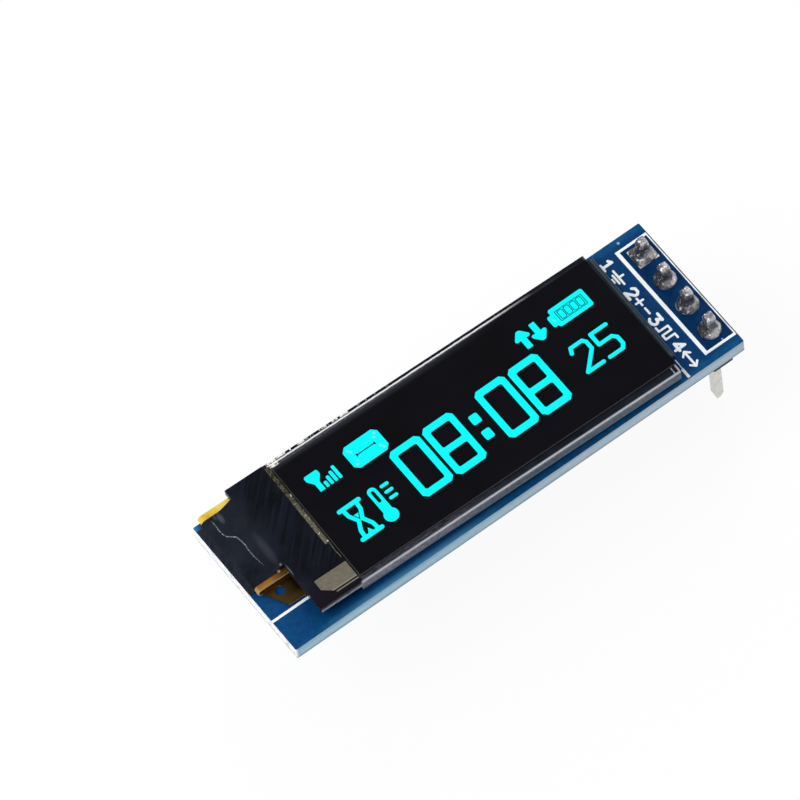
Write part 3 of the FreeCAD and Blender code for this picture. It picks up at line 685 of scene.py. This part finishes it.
def crease_highlight_material():
    """Painted highlight along the ridge of the tape's fold."""
    g = Graph("tape_fold_highlight")
    grain = g.noise(g.place(), 6, 4, 0.7)
    colour = g.tones(g.fade(grain, 0.38, 0.62), (48, 50, 58), (160, 163, 170))
    return g.finish(colour, 0.4, 0.15, g.bump(grain, 0.3, 0.01))


def patch_material():
    """Pale coating seen through glass, with a painted highlight line and a dark line along its near side."""
    g = Graph("patch")
    at = g.on_panel()
    y = g.axes(at)[1]
    grain = g.noise(at, 3.5, 4, 0.6)
    colour = g.tones(g.fade(grain, 0.3, 0.7), (98, 93, 78), (114, 109, 94))
    colour = g.tint(g.fade(y, *PATCH_DARK_Y), colour, (20, 18, 19))
    # Painted highlight along the near edge
    colour = g.tint(g.band(y, *PATCH_HIGHLIGHT_Y, 0.02), colour, (142, 137, 121))
    return g.finish(colour, 0.35, 0.15, g.bump(grain, 0.15, 0.01), Metallic=0.1)


def flex_material():
    """Amber film over copper tracks: dark in painted shade on the wide part below, golden in painted
    backlight at the far margin.
    """
    g = Graph("flex")
    at = g.on_panel()
    x, y, z = g.axes(at)
    cloud = g.noise(at, 0.9, 4, 0.6)
    grain = g.noise(g.on_panel(stretch=(2, 0.3, 1)), 2.5, 4)
    wing = g.times(g.fade(y, *FLEX_WING_Y), g.fade(z, *FLEX_WING_Z))
    colour = g.mix(wing, flex_amber(g, x, z, cloud), flex_dark(g, x, y, cloud))
    tracks = g.add("ShaderNodeTexWave", {"Vector": at, "Scale": 0.52, "Distortion": 0.3}, wave_type="BANDS",
                   bands_direction="Y", wave_profile="SIN").outputs["Fac"]
    tracks = g.times(g.fade(tracks, 0.45, 0.6), g.math("SUBTRACT", 1, wing))
    colour = g.tint(tracks, colour, (110, 76, 30), 0.2)
    colour = g.glint(colour, *FLEX_GLINT, 1, (250, 250, 250))
    # Painted backlight: the golden far margin
    colour = g.mix(g.fade(y, *FLEX_BACKLIT_MARGIN_Y), colour, flex_backlit_gold(g, x, y, cloud))
    # Painted highlight on the cut sides, duller on the shaded wide part
    cut = g.fade(g.math("ABSOLUTE", g.normal()[1]), 0.6, 0.8)
    colour = g.mix(cut, colour, g.tones(wing, (226, 210, 158), (150, 128, 82)))
    return g.finish(colour, 0.3, 0.08, g.bump(grain, 0.1, 0.02))


def flex_amber(g, x, z, cloud):
    """The narrow part: amber, with a painted highlight round the fold and painted shade on its crest by the
    ledge.
    """
    amber = g.tones(g.fade(cloud, 0.35, 0.65), (132, 84, 26), (158, 112, 46))
    # Painted highlight where the film turns round the fold
    amber = g.tint(g.fade(g.normal_up(), 0.97, 0.75), amber, (182, 148, 82))
    # Painted shade on the crest by the ledge
    crest = g.times(g.fade(x, *FLEX_CREST_SHADE_X), g.fade(z, *FLEX_CREST_SHADE_Z))
    return g.tint(crest, amber, (84, 56, 20))


def flex_dark(g, x, y, cloud):
    """The wide part below, in the panel's shade."""
    dark = g.tones(g.fade(x, -14.9, -16.4), (20, 12, 1), (66, 44, 6))
    dark = g.tint(g.fade(y, -2.9, -3.3), dark, (62, 47, 9))
    return g.tint(g.fade(cloud, 0.45, 0.7), dark, (34, 27, 8), 0.6)


def flex_backlit_gold(g, x, y, cloud):
    """The far margin: golden in painted backlight, paler towards the panel, brown along its inner side."""
    gold = g.tones(g.fade(cloud, 0.35, 0.65), (206, 168, 44), (240, 216, 88))
    pale = g.mix(0.35, gold, srgb(244, 226, 128))
    gold = g.mix(g.fade(x, -15.6, -16.6), pale, gold)
    return g.tint(g.fade(y, 5.04, 4.95), gold, (150, 104, 14), 0.6)


def resin_material():
    """Cured clear resin over the ledge: olive, blotched dark towards the far side, with bright specks."""
    g = Graph("resin")
    at = g.on_panel()
    y = g.axes(at)[1]
    coarse = g.noise(g.on_panel(stretch=(1, 0.8, 1)), 3.2, 3, 0.65)
    fine = g.noise(at, 7, 3, 0.8)
    pale = g.tones(g.fade(fine, 0.4, 0.62), (70, 68, 54), (108, 105, 90))
    dark = g.tones(g.fade(coarse, 0.44, 0.56), (26, 24, 14), (74, 71, 52))
    colour = g.mix(g.fade(y, *RESIN_BLOTCHED_Y), pale, dark)
    colour = g.tint(g.fade(fine, 0.62, 0.68), colour, (150, 148, 132))
    beads = g.noise(g.on_panel(stretch=(1, 1.4, 1)), 4, 2, 0.8)
    specks = g.times(g.fade(beads, 0.62, 0.66), g.band(y, *RESIN_SPECKS_Y, 0.4))
    colour = g.tint(specks, colour, (206, 204, 190))
    return g.finish(colour, 0.2, 0.13, g.bump(coarse, 0.5, 0.05))


def adhesive_material():
    """Adhesive strip, blue-grey with dust and pale streaks where it shows beyond the glass."""
    g = Graph("adhesive")
    at = g.on_panel()
    x, y = g.axes(at)[:2]
    coarse = g.noise(at, 2, 4, 0.7)
    streaks = g.noise(g.on_panel(turn=18, stretch=(0.5, 3, 1)), 2.4, 4, 0.75)
    colour = g.tones(g.fade(coarse, 0.35, 0.65), (35, 51, 66), (58, 76, 92))
    colour = g.tint(g.fade(streaks, 0.54, 0.66), colour, (98, 112, 124), 0.7)
    colour = g.tint(g.fade(y, -5, 5), colour, (88, 104, 118), 0.35)
    colour = g.tint(g.fade(x, *ADHESIVE_SHADOW_X), colour, (16, 25, 38))
    colour = g.tint(g.band(x, *ADHESIVE_DARK_X, 0.02), colour, (18, 30, 46))
    colour = g.tint(g.fade(x, *ADHESIVE_RIM_X), colour, (84, 98, 108))
    return g.finish(colour, 0.5, 0.1, g.bump(coarse, 0.3, 0.04))


def plain_material(name, dark, light, scale, roughness, specular=0.2):
    """Matte or satin material with a cloudy grain of two tones."""
    g = Graph(name)
    grain = g.noise(g.place(), scale, 4, 0.6)
    colour = g.tones(g.fade(grain, 0.3, 0.7), dark, light)
    return g.finish(colour, roughness, specular, g.bump(grain, 0.2, 0.02))


def floor_material():
    """Plain white floor that takes a soft shadow, with the faintest grain."""
    g = Graph("floor")
    grain = g.noise(g.place(), 0.02)
    colour = g.mix(g.fade(grain, 0.2, 0.8), (0.97, 0.97, 0.97, 1), WHITE)
    matte = g.add("ShaderNodeBsdfDiffuse", {"Color": colour}).outputs[0]
    white = g.add("ShaderNodeEmission", {"Strength": 1}).outputs[0]
    share = g.times(g.seen(), FLOOR_GLOW)
    both = g.add("ShaderNodeMixShader", {0: share, 1: matte, 2: white}).outputs[0]
    g.add("ShaderNodeOutputMaterial", {"Surface": both})
    return g.block


def make_materials():
    """Every material by the name that WORN_BY and the pieces use."""
    return {
        "board": board_material(),
        "print": print_material(),
        "tinned": metal_material("tinned", (150, 148, 144), (205, 203, 198), 6, 0.32),
        "pin": metal_material("pin_plate", (196, 195, 190), (228, 227, 222), 4, 0.25, 0.75),
        "solder": solder_material(),
        "moulding": moulding_material(),
        "glass": glass_material(),
        "seal": plain_material("seal", (96, 94, 90), (126, 124, 118), 3, 0.5),
        "layers": plain_material("pixel_layers", (14, 14, 18), (22, 22, 28), 2, 0.3),
        "sheet": plain_material("drying_sheet", (200, 200, 196), (218, 218, 214), 3, 0.8),
        "polariser": polariser_material(),
        "silicon": plain_material("silicon", (64, 64, 72), (84, 84, 94), 3, 0.15, 0.6),
        "flex": flex_material(),
        "tape": tape_material(),
        "patch": patch_material(),
        "resin": resin_material(),
        "adhesive": adhesive_material(),
        "tan": plain_material("capacitor_ceramic", (158, 126, 92), (182, 150, 114), 5, 0.55),
        "ceramic": plain_material("resistor_ceramic", (216, 216, 210), (238, 238, 234), 5, 0.6),
        "floor": floor_material(),
    }


def dress_nodes():
    """Give every CAD node its material."""
    worn = {node: materials[key] for key, nodes in WORN_BY.items() for node in nodes.split()}
    for name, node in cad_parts.items():
        node.data.materials.clear()
        node.data.materials.append(worn[name.rstrip("_0123456789")])


# Outlines

def capsule(start, end, width, steps=7):
    """Outline of a stroke with round ends."""
    a, b = Vector(start), Vector(end)
    heading = atan2(b.y - a.y, b.x - a.x)
    points = []
    for centre, first in ((b, heading - pi / 2), (a, heading + pi / 2)):
        for i in range(steps + 1):
            angle = first + pi * i / steps
            points.append((centre.x + cos(angle) * width / 2, centre.y + sin(angle) * width / 2))
    return points


def strokes(points, width):
    """Capsules along a line of points."""
    return [capsule(a, b, width) for a, b in zip(points, points[1:])]


def rectangle(x0, x1, y0, y1, cut=0):
    """Rectangle, its corners cut off."""
    if cut <= 0:
        return [(x0, y0), (x1, y0), (x1, y1), (x0, y1)]
    return [(x0 + cut, y0), (x1 - cut, y0), (x1, y0 + cut), (x1, y1 - cut),
            (x1 - cut, y1), (x0 + cut, y1), (x0, y1 - cut), (x0, y0 + cut)]


def rounded(x0, x1, y0, y1, radius, steps=5):
    """Rectangle with round corners."""
    points = []
    corners = ((x1 - radius, y0 + radius, -90), (x1 - radius, y1 - radius, 0),
               (x0 + radius, y1 - radius, 90), (x0 + radius, y0 + radius, 180))
    for x, y, first in corners:
        for i in range(steps + 1):
            angle = radians(first + 90 * i / steps)
            points.append((x + cos(angle) * radius, y + sin(angle) * radius))
    return points


def disc(x, y, radius, steps=20):
    """Outline of a circle."""
    turns = [2 * pi * i / steps for i in range(steps)]
    return [(x + cos(t) * radius, y + sin(t) * radius) for t in turns]


def inside(point, outline):
    """Whether a point lies in an outline."""
    x, y = point
    found = False
    for (ax, ay), (bx, by) in zip(outline, outline[1:] + outline[:1]):
        if (ay > y) != (by > y) and x < (bx - ax) * (y - ay) / (by - ay) + ax:
            found = not found
    return found


# Meshes and pieces

def flat_mesh(mesh, filled, holes, z0, z1):
    """Add the union of the filled outlines, less the holes, to a mesh as a thin closed plate."""
    points, edges = [], []
    for outline in filled + holes:
        first = len(points)
        points += [Vector(p) for p in outline]
        edges += [(first + i, first + (i + 1) % len(outline)) for i in range(len(outline))]
    found = geometry.delaunay_2d_cdt(points, edges, [], 0, 1e-5)
    corners, faces = found[0], found[2]
    kept = []
    for face in faces:
        middle = sum((corners[i] for i in face), Vector((0, 0))) / len(face)
        if any(inside(middle, o) for o in filled) and not any(inside(middle, o) for o in holes):
            kept.append(face)
    lower = [mesh.verts.new((p.x, p.y, z0)) for p in corners]
    upper = [mesh.verts.new((p.x, p.y, z1)) for p in corners]
    sides = {}
    for face in kept:
        mesh.faces.new([upper[i] for i in face])
        mesh.faces.new([lower[i] for i in reversed(face)])
        for a, b in zip(face, face[1:] + face[:1]):
            if (b, a) in sides:
                del sides[(b, a)]
            else:
                sides[(a, b)] = True
    for a, b in sides:
        mesh.faces.new([lower[a], lower[b], upper[b], upper[a]])
    used = {v for f in mesh.faces for v in f.verts}
    bmesh.ops.delete(mesh, geom=[v for v in mesh.verts if v not in used], context="VERTS")


def join_rings(mesh, rings):
    """Faces between each ring of corners and the next; a ring of one corner closes the end."""
    for one, two in zip(rings, rings[1:]):
        count = max(len(one), len(two))
        for i in range(count):
            j = (i + 1) % count
            if len(one) == 1:
                mesh.faces.new((one[0], two[j], two[i]))
            elif len(two) == 1:
                mesh.faces.new((one[i], one[j], two[0]))
            else:
                mesh.faces.new((one[i], one[j], two[j], two[i]))


def panel_matrix(turn=0):
    """From the panel's own frame to the part's frame."""
    turned = Euler((0, 0, radians(PANEL_TURN + turn))).to_matrix().to_4x4()
    return Matrix.Translation((*PANEL_CENTRE, 0)) @ turned


def show(name, data):
    """New object in the scene."""
    item = bpy.data.objects.new(name, data)
    bpy.context.scene.collection.objects.link(item)
    return item


def make_object(name, mesh, material, matrix=Matrix.Identity(4)):
    """Turn a mesh in millimetres into a piece that rides on the module."""
    data = bpy.data.meshes.new(name)
    bmesh.ops.dissolve_limit(mesh, angle_limit=radians(0.5), verts=mesh.verts, edges=mesh.edges)
    bmesh.ops.recalc_face_normals(mesh, faces=mesh.faces)
    mesh.transform(Matrix.Scale(MM, 4) @ matrix)
    mesh.to_mesh(data)
    mesh.free()
    piece = show(name, data)
    data.materials.append(material)
    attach(piece, "root")
    return piece


# The lit picture: each figure is a pair of filled outlines and holes

def signal_figure():
    """Aerial and four bars."""
    bars = [rounded(left, left + SIGNAL_BAR, SIGNAL_FOOT, top, 0.1) for left, top in SIGNAL_BARS]
    return [AERIAL] + bars, []


def envelope_figure():
    """Envelope with its flap drawn as a fine line with a small point at each end."""
    holes = [rectangle(*FLAP_LINE)]
    for x, length in FLAP_POINTS:
        holes.append([(x, FLAP_POINT_Y + FLAP_POINT_HALF), (x + length, FLAP_POINT_Y),
                      (x, FLAP_POINT_Y - FLAP_POINT_HALF)])
    return [rectangle(*ENVELOPE, ENVELOPE_CUT)], holes


def digit_figure(x0, x1, y0, y1, bar):
    """Square-cut digit, with a bar across it where its lower and upper edge are given."""
    wide, high = DIGIT_STROKE
    openings = [(y0 + high, y1 - high)]
    if bar:
        openings = [(y0 + high, bar[0]), (bar[1], y1 - high)]
    return ([rectangle(x0, x1, y0, y1, DIGIT_CUT)],
            [rectangle(x0 + wide, x1 - wide, low, top, OPENING_CUT) for low, top in openings])


def clock_figures():
    """The time, with its colon."""
    figures = [digit_figure(*digit) for digit in DIGITS]
    for low, high in COLON_DOTS_Y:
        figures.append(([rounded(*COLON_X, low, high, COLON_CORNER)], []))
    return figures


def arrow_figures():
    """Arrows up and down."""
    figures = []
    for x, tail, way in ARROWS:
        right = [(x + across, tail + way * along) for across, along in ARROW_HALF]
        left = [(x - across, tail + way * along) for across, along in reversed(ARROW_HALF)]
        figures.append(([right + left], []))
    return figures


def cell(x, y, inset=0):
    """One cell of the battery, with round corners."""
    half_x = CELL_HALF[0] - inset
    half_y = CELL_HALF[1] - inset
    return rounded(x - half_x, x + half_x, y - half_y, y + half_y, half_x * 0.6)


def battery_figures():
    """Battery with its cap at the left; a fine line runs round the four cells and round each of them."""
    line = BATTERY_LINE
    x0, x1, y0, y1 = BATTERY_PANEL
    case = [rectangle(*BATTERY_CASE, 0.12), rectangle(*BATTERY_CAP, 0.1)]
    panel = [rectangle(x0 + line, x1 - line, y0 + line, y1 - line, 0.06)]
    middle = (y0 + y1) / 2
    figures = [(case, [rectangle(x0, x1, y0, y1, 0.08)])]
    figures.append((panel, [cell(x, middle) for x in CELLS_X]))
    figures += [([cell(x, middle, line)], []) for x in CELLS_X]
    return figures


def level_figures():
    """A plain level reading, 25, in angular strokes."""
    return [(strokes(digit, LEVEL_STROKE), []) for digit in LEVEL_DIGITS]


def hourglass_figure():
    """Hourglass with sand above and below."""
    glass = []
    for y in HOURGLASS_CAPS_Y:
        glass += strokes([(x, y) for x in HOURGLASS_CAP_X], HOURGLASS_CAP_STROKE)
    for way in (-1, 1):
        wall = [(HOURGLASS_MIDDLE + way * across, y) for across, y in HOURGLASS_HALF]
        glass += strokes(wall, HOURGLASS_STROKE)
    return glass + list(SAND), []


def thermometer_figures():
    """Thermometer with its bore and three ticks."""
    tube = strokes([(TUBE_X, y) for y in TUBE_Y], TUBE_WIDTH)
    bore = strokes([(TUBE_X, y) for y in BORE_Y], FINE_STROKE)
    ticks = []
    for y in TICKS_Y:
        ticks += strokes([(x, y) for x in TICKS_X], FINE_STROKE)
    return [(tube + [disc(TUBE_X, BULB_Y, BULB_RADIUS)], bore), (ticks, [])]


def display_picture():
    """Every lit figure, as thin plates just over the film."""
    mesh = bmesh.new()
    figures = [signal_figure(), envelope_figure()]
    figures += clock_figures() + arrow_figures() + battery_figures() + level_figures()
    figures += [hourglass_figure()] + thermometer_figures()
    z0 = POLARISER_TOP + PICTURE_LIFT
    for filled, holes in figures:
        flat_mesh(mesh, filled, holes, z0, z0 + PICTURE_THICKNESS)
    mesh.transform(Matrix.Translation((*PICTURE_SHIFT, 0)))
    return make_object("display_picture", mesh, picture_material(), panel_matrix(PICTURE_TURN))


# Other pieces

def label_strokes(lines, start, shift, width):
    """Strokes of one sign, written from start towards the near side, as outlines on the board."""
    placed = []
    for line in lines:
        for outline in strokes([(x + shift, y * (LABEL_HEIGHT - width)) for x, y in line], width):
            placed.append([(LABEL_BASE + width / 2 + y, start - x) for x, y in outline])
    return placed


def pin_labels():
    """A number and a plain sign beside each pin, and the sliver of line at the panel's end."""
    mesh = bmesh.new()
    top = BOARD_TOP + PRINT_THICKNESS
    for start, numeral, sign in zip(LABEL_STARTS, NUMERALS, SIGNS):
        for lines, shift, width in ((numeral, 0, LABEL_STROKE), (sign, SIGN_SHIFT, SIGN_STROKE)):
            flat_mesh(mesh, label_strokes(lines, start, shift, width), [], BOARD_TOP, top)
    flat_mesh(mesh, strokes(SLIVER_LINE, SLIVER_WIDTH), [], BOARD_TOP, top)
    return make_object("pin_labels", mesh, materials["print"])


def board_dots():
    """Two small tented holes that show as pale dots in the mask."""
    mesh = bmesh.new()
    for x, y, radius in TENTED_HOLES:
        flat_mesh(mesh, [disc(x, y, radius)], [], BOARD_TOP, BOARD_TOP + PRINT_THICKNESS / 2)
    dot = plain_material("tented_hole", (96, 160, 205), (140, 190, 225), 9, 0.4)
    return make_object("board_dots", mesh, dot)


def tape_crease():
    """A low ridge of uneven width along the tape's fold, its pale colour a painted highlight."""
    mesh = bmesh.new()
    rings = []
    last = len(CREASE_LINE) - 1
    for i, (x, y) in enumerate(CREASE_LINE):
        before = Vector(CREASE_LINE[max(i - 1, 0)])
        after = Vector(CREASE_LINE[min(i + 1, last)])
        uneven = noise.noise(Vector((x * CREASE_WAVER, y * CREASE_WAVER, 1)))
        half = CREASE_WIDTH / 2 * (0.75 + 0.5 * uneven)
        if i in (0, last):
            half *= CREASE_END
        across = (after - before).orthogonal().normalized() * half
        left, right = Vector((x, y)) + across, Vector((x, y)) - across
        ridge = TAPE_FACE + CREASE_HEIGHT
        corners = ((left.x, left.y, TAPE_FACE), (x, y, ridge), (right.x, right.y, TAPE_FACE))
        rings.append([mesh.verts.new(corner) for corner in corners])
    join_rings(mesh, rings)
    mesh.faces.new(rings[0])
    mesh.faces.new(rings[-1])
    return make_object("tape_crease", mesh, crease_highlight_material(), panel_matrix())


def resin_run():
    """Resin that crept on from the bead's end along the film."""
    mesh = bmesh.new()
    flat_mesh(mesh, strokes(RESIN_RUN, RESIN_RUN_WIDTH), [], LEDGE_TOP, LEDGE_TOP + RESIN_RUN_HEIGHT)
    return make_object("resin_run", mesh, materials["resin"], panel_matrix())


def resin_drop_glint():
    """Little drop at the bead's end, painted near white as a glint."""
    mesh = bmesh.new()
    bmesh.ops.create_uvsphere(mesh, u_segments=16, v_segments=10, radius=DROP_RADIUS)
    bmesh.ops.bisect_plane(mesh, geom=mesh.verts[:] + mesh.edges[:] + mesh.faces[:], plane_co=(0, 0, 0),
                           plane_no=(0, 0, 1), clear_inner=True)
    bmesh.ops.holes_fill(mesh, edges=[e for e in mesh.edges if e.is_boundary])
    for face in mesh.faces:
        face.smooth = len(face.verts) < 5
    mesh.transform(Matrix.Translation((*DROP_PLACE, LEDGE_TOP)))
    # Near-white material: a painted glint
    drop = plain_material("resin_drop_glint", (214, 212, 204), (255, 255, 255), 9, 0.1, 0.6)
    return make_object("resin_drop_glint", mesh, drop, panel_matrix())


def limited(value):
    """The value, kept between 0 and 1."""
    return max(0, min(1, value))


def square_reach(angle, amount):
    """How much further a rounded square reaches than its circle in this direction."""
    power = SQUARE_POWER
    reach = (abs(cos(angle)) ** power + abs(sin(angle)) ** power) ** (-1 / power)
    return 1 + (reach - 1) * amount


def solder_point(number, radius, height, angle):
    """A place on a joint's skin, counted from the pin's middle on the board's face."""
    square = limited((height - NECK_SQUARE[0]) / NECK_SQUARE[1])
    if number == 1 and height > FOOT_SQUARE_FROM:
        square = max(square, 1 - FOOT_SQUARE_LOSS * height)
    wide = square_reach(angle, square)
    x = radius * wide * cos(angle)
    y = radius * wide * sin(angle)
    lumps = SOLDER_LUMPS
    seed = Vector((x * lumps[0], y * lumps[1], height * lumps[2] + number * SOLDER_SEED_STEP))
    rough = SOLDER_ROUGHNESS if height > SOLDER_SMOOTH_BELOW else 0
    push = 1 + rough * SOLDER_PUSH * noise.noise(seed) * min(1, radius / CALM_RADIUS)
    lift = rough * noise.noise(seed * SOLDER_LIFT_SCALE + Vector(SOLDER_LIFT_SEED))
    lean = SOLDER_LEAN * limited(height / SOLDER_LEAN_HEIGHT) * sin(number * SOLDER_LEAN_TURN)
    return x * push + lean, y * push, height + lift


def solder_mound(number):
    """One hand-soldered joint: it fills the hole, spreads over the ring and climbs the pin."""
    mesh = bmesh.new()
    low, high = node_span(f"header_pin_{number}")
    pin_y = (low[1] + high[1]) / 2
    rings = []
    for radius, height in SOLDER_PROFILE:
        angles = [2 * pi * i / SOLDER_STEPS for i in range(SOLDER_STEPS)]
        ring = [solder_point(number, radius, height, angle) for angle in angles]
        if radius == 0:
            ring = [sum((Vector(p) for p in ring), Vector()) / len(ring)]
        rings.append([mesh.verts.new((x, pin_y + y, BOARD_TOP + z)) for x, y, z in ring])
    join_rings(mesh, rings)
    for face in mesh.faces:
        face.smooth = True
    piece = make_object(f"solder_mound_{number}", mesh, materials["solder"])
    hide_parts(f"pin_solder_{number}")
    return piece


# Floor, light and camera

def make_floor():
    """Wide floor just under the pins."""
    half = FLOOR_HALF * MM
    z = cad_box[0][2] - FLOOR_GAP * MM
    corners = [(-half, -half, z), (half, -half, z), (half, half, z), (-half, half, z)]
    data = bpy.data.meshes.new("floor")
    data.from_pydata(corners, [], [(0, 1, 2, 3)])
    floor = show("floor", data)
    data.materials.append(materials["floor"])


def make_lamps():
    """Two soft square lamps that face the board."""
    aim = Vector(AIM_POINT) * MM
    for direction, distance, side, level, name in LAMPS:
        light = bpy.data.lights.new(name, "AREA")
        light.shape = "SQUARE"
        light.size = side * MM
        light.energy = level * (distance * MM) ** 2 * pi ** 2
        lamp = show(name, light)
        heading = Vector(direction).normalized()
        lamp.location = aim + heading * distance * MM
        lamp.rotation_mode = "QUATERNION"
        lamp.rotation_quaternion = heading.to_track_quat("Z", "Y")


def make_world():
    """Soft even light, and plain white where the background shows past the floor."""
    g = Graph("studio", bpy.data.worlds)
    lit = g.add("ShaderNodeBackground", {"Color": WHITE, "Strength": WORLD_STRENGTH}).outputs[0]
    white = g.add("ShaderNodeBackground", {"Color": WHITE, "Strength": 1}).outputs[0]
    both = g.add("ShaderNodeMixShader", {0: g.seen(), 1: lit, 2: white}).outputs[0]
    g.add("ShaderNodeOutputWorld", {"Surface": both})
    bpy.context.scene.world = g.block


def make_camera():
    """Camera at the photo's viewing angle."""
    azimuth, elevation, roll = (radians(v) for v in (CAMERA_AZIMUTH, CAMERA_ELEVATION, CAMERA_ROLL))
    back = Vector((sin(azimuth) * cos(elevation), -cos(azimuth) * cos(elevation), sin(elevation)))
    right = (-back).cross(Vector((0, 0, 1))).normalized()
    up = right.cross(-back)
    turned_right = cos(roll) * right + sin(roll) * up
    turned_up = -sin(roll) * right + cos(roll) * up
    aim = Vector(AIM_POINT) + turned_right * AIM_RIGHT + turned_up * AIM_UP
    data = bpy.data.cameras.new("camera")
    data.sensor_width = CAMERA_SENSOR
    data.lens = CAMERA_LENS
    data.clip_start, data.clip_end = (MM * v for v in CAMERA_CLIP)
    camera = show("camera", data)
    rotation = Matrix((turned_right, turned_up, back)).transposed()
    camera.matrix_world = Matrix.Translation((aim + back * CAMERA_DISTANCE) * MM) @ rotation.to_4x4()
    bpy.context.scene.camera = camera


cad_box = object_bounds()
materials = make_materials()
dress_nodes()
display_picture()
pin_labels()
board_dots()
tape_crease()
resin_run()
resin_drop_glint()
for pin_number in range(1, PIN_COUNT + 1):
    solder_mound(pin_number)
make_floor()
make_lamps()
make_world()
make_camera()
bpy.context.scene.view_settings.view_transform = "Standard"
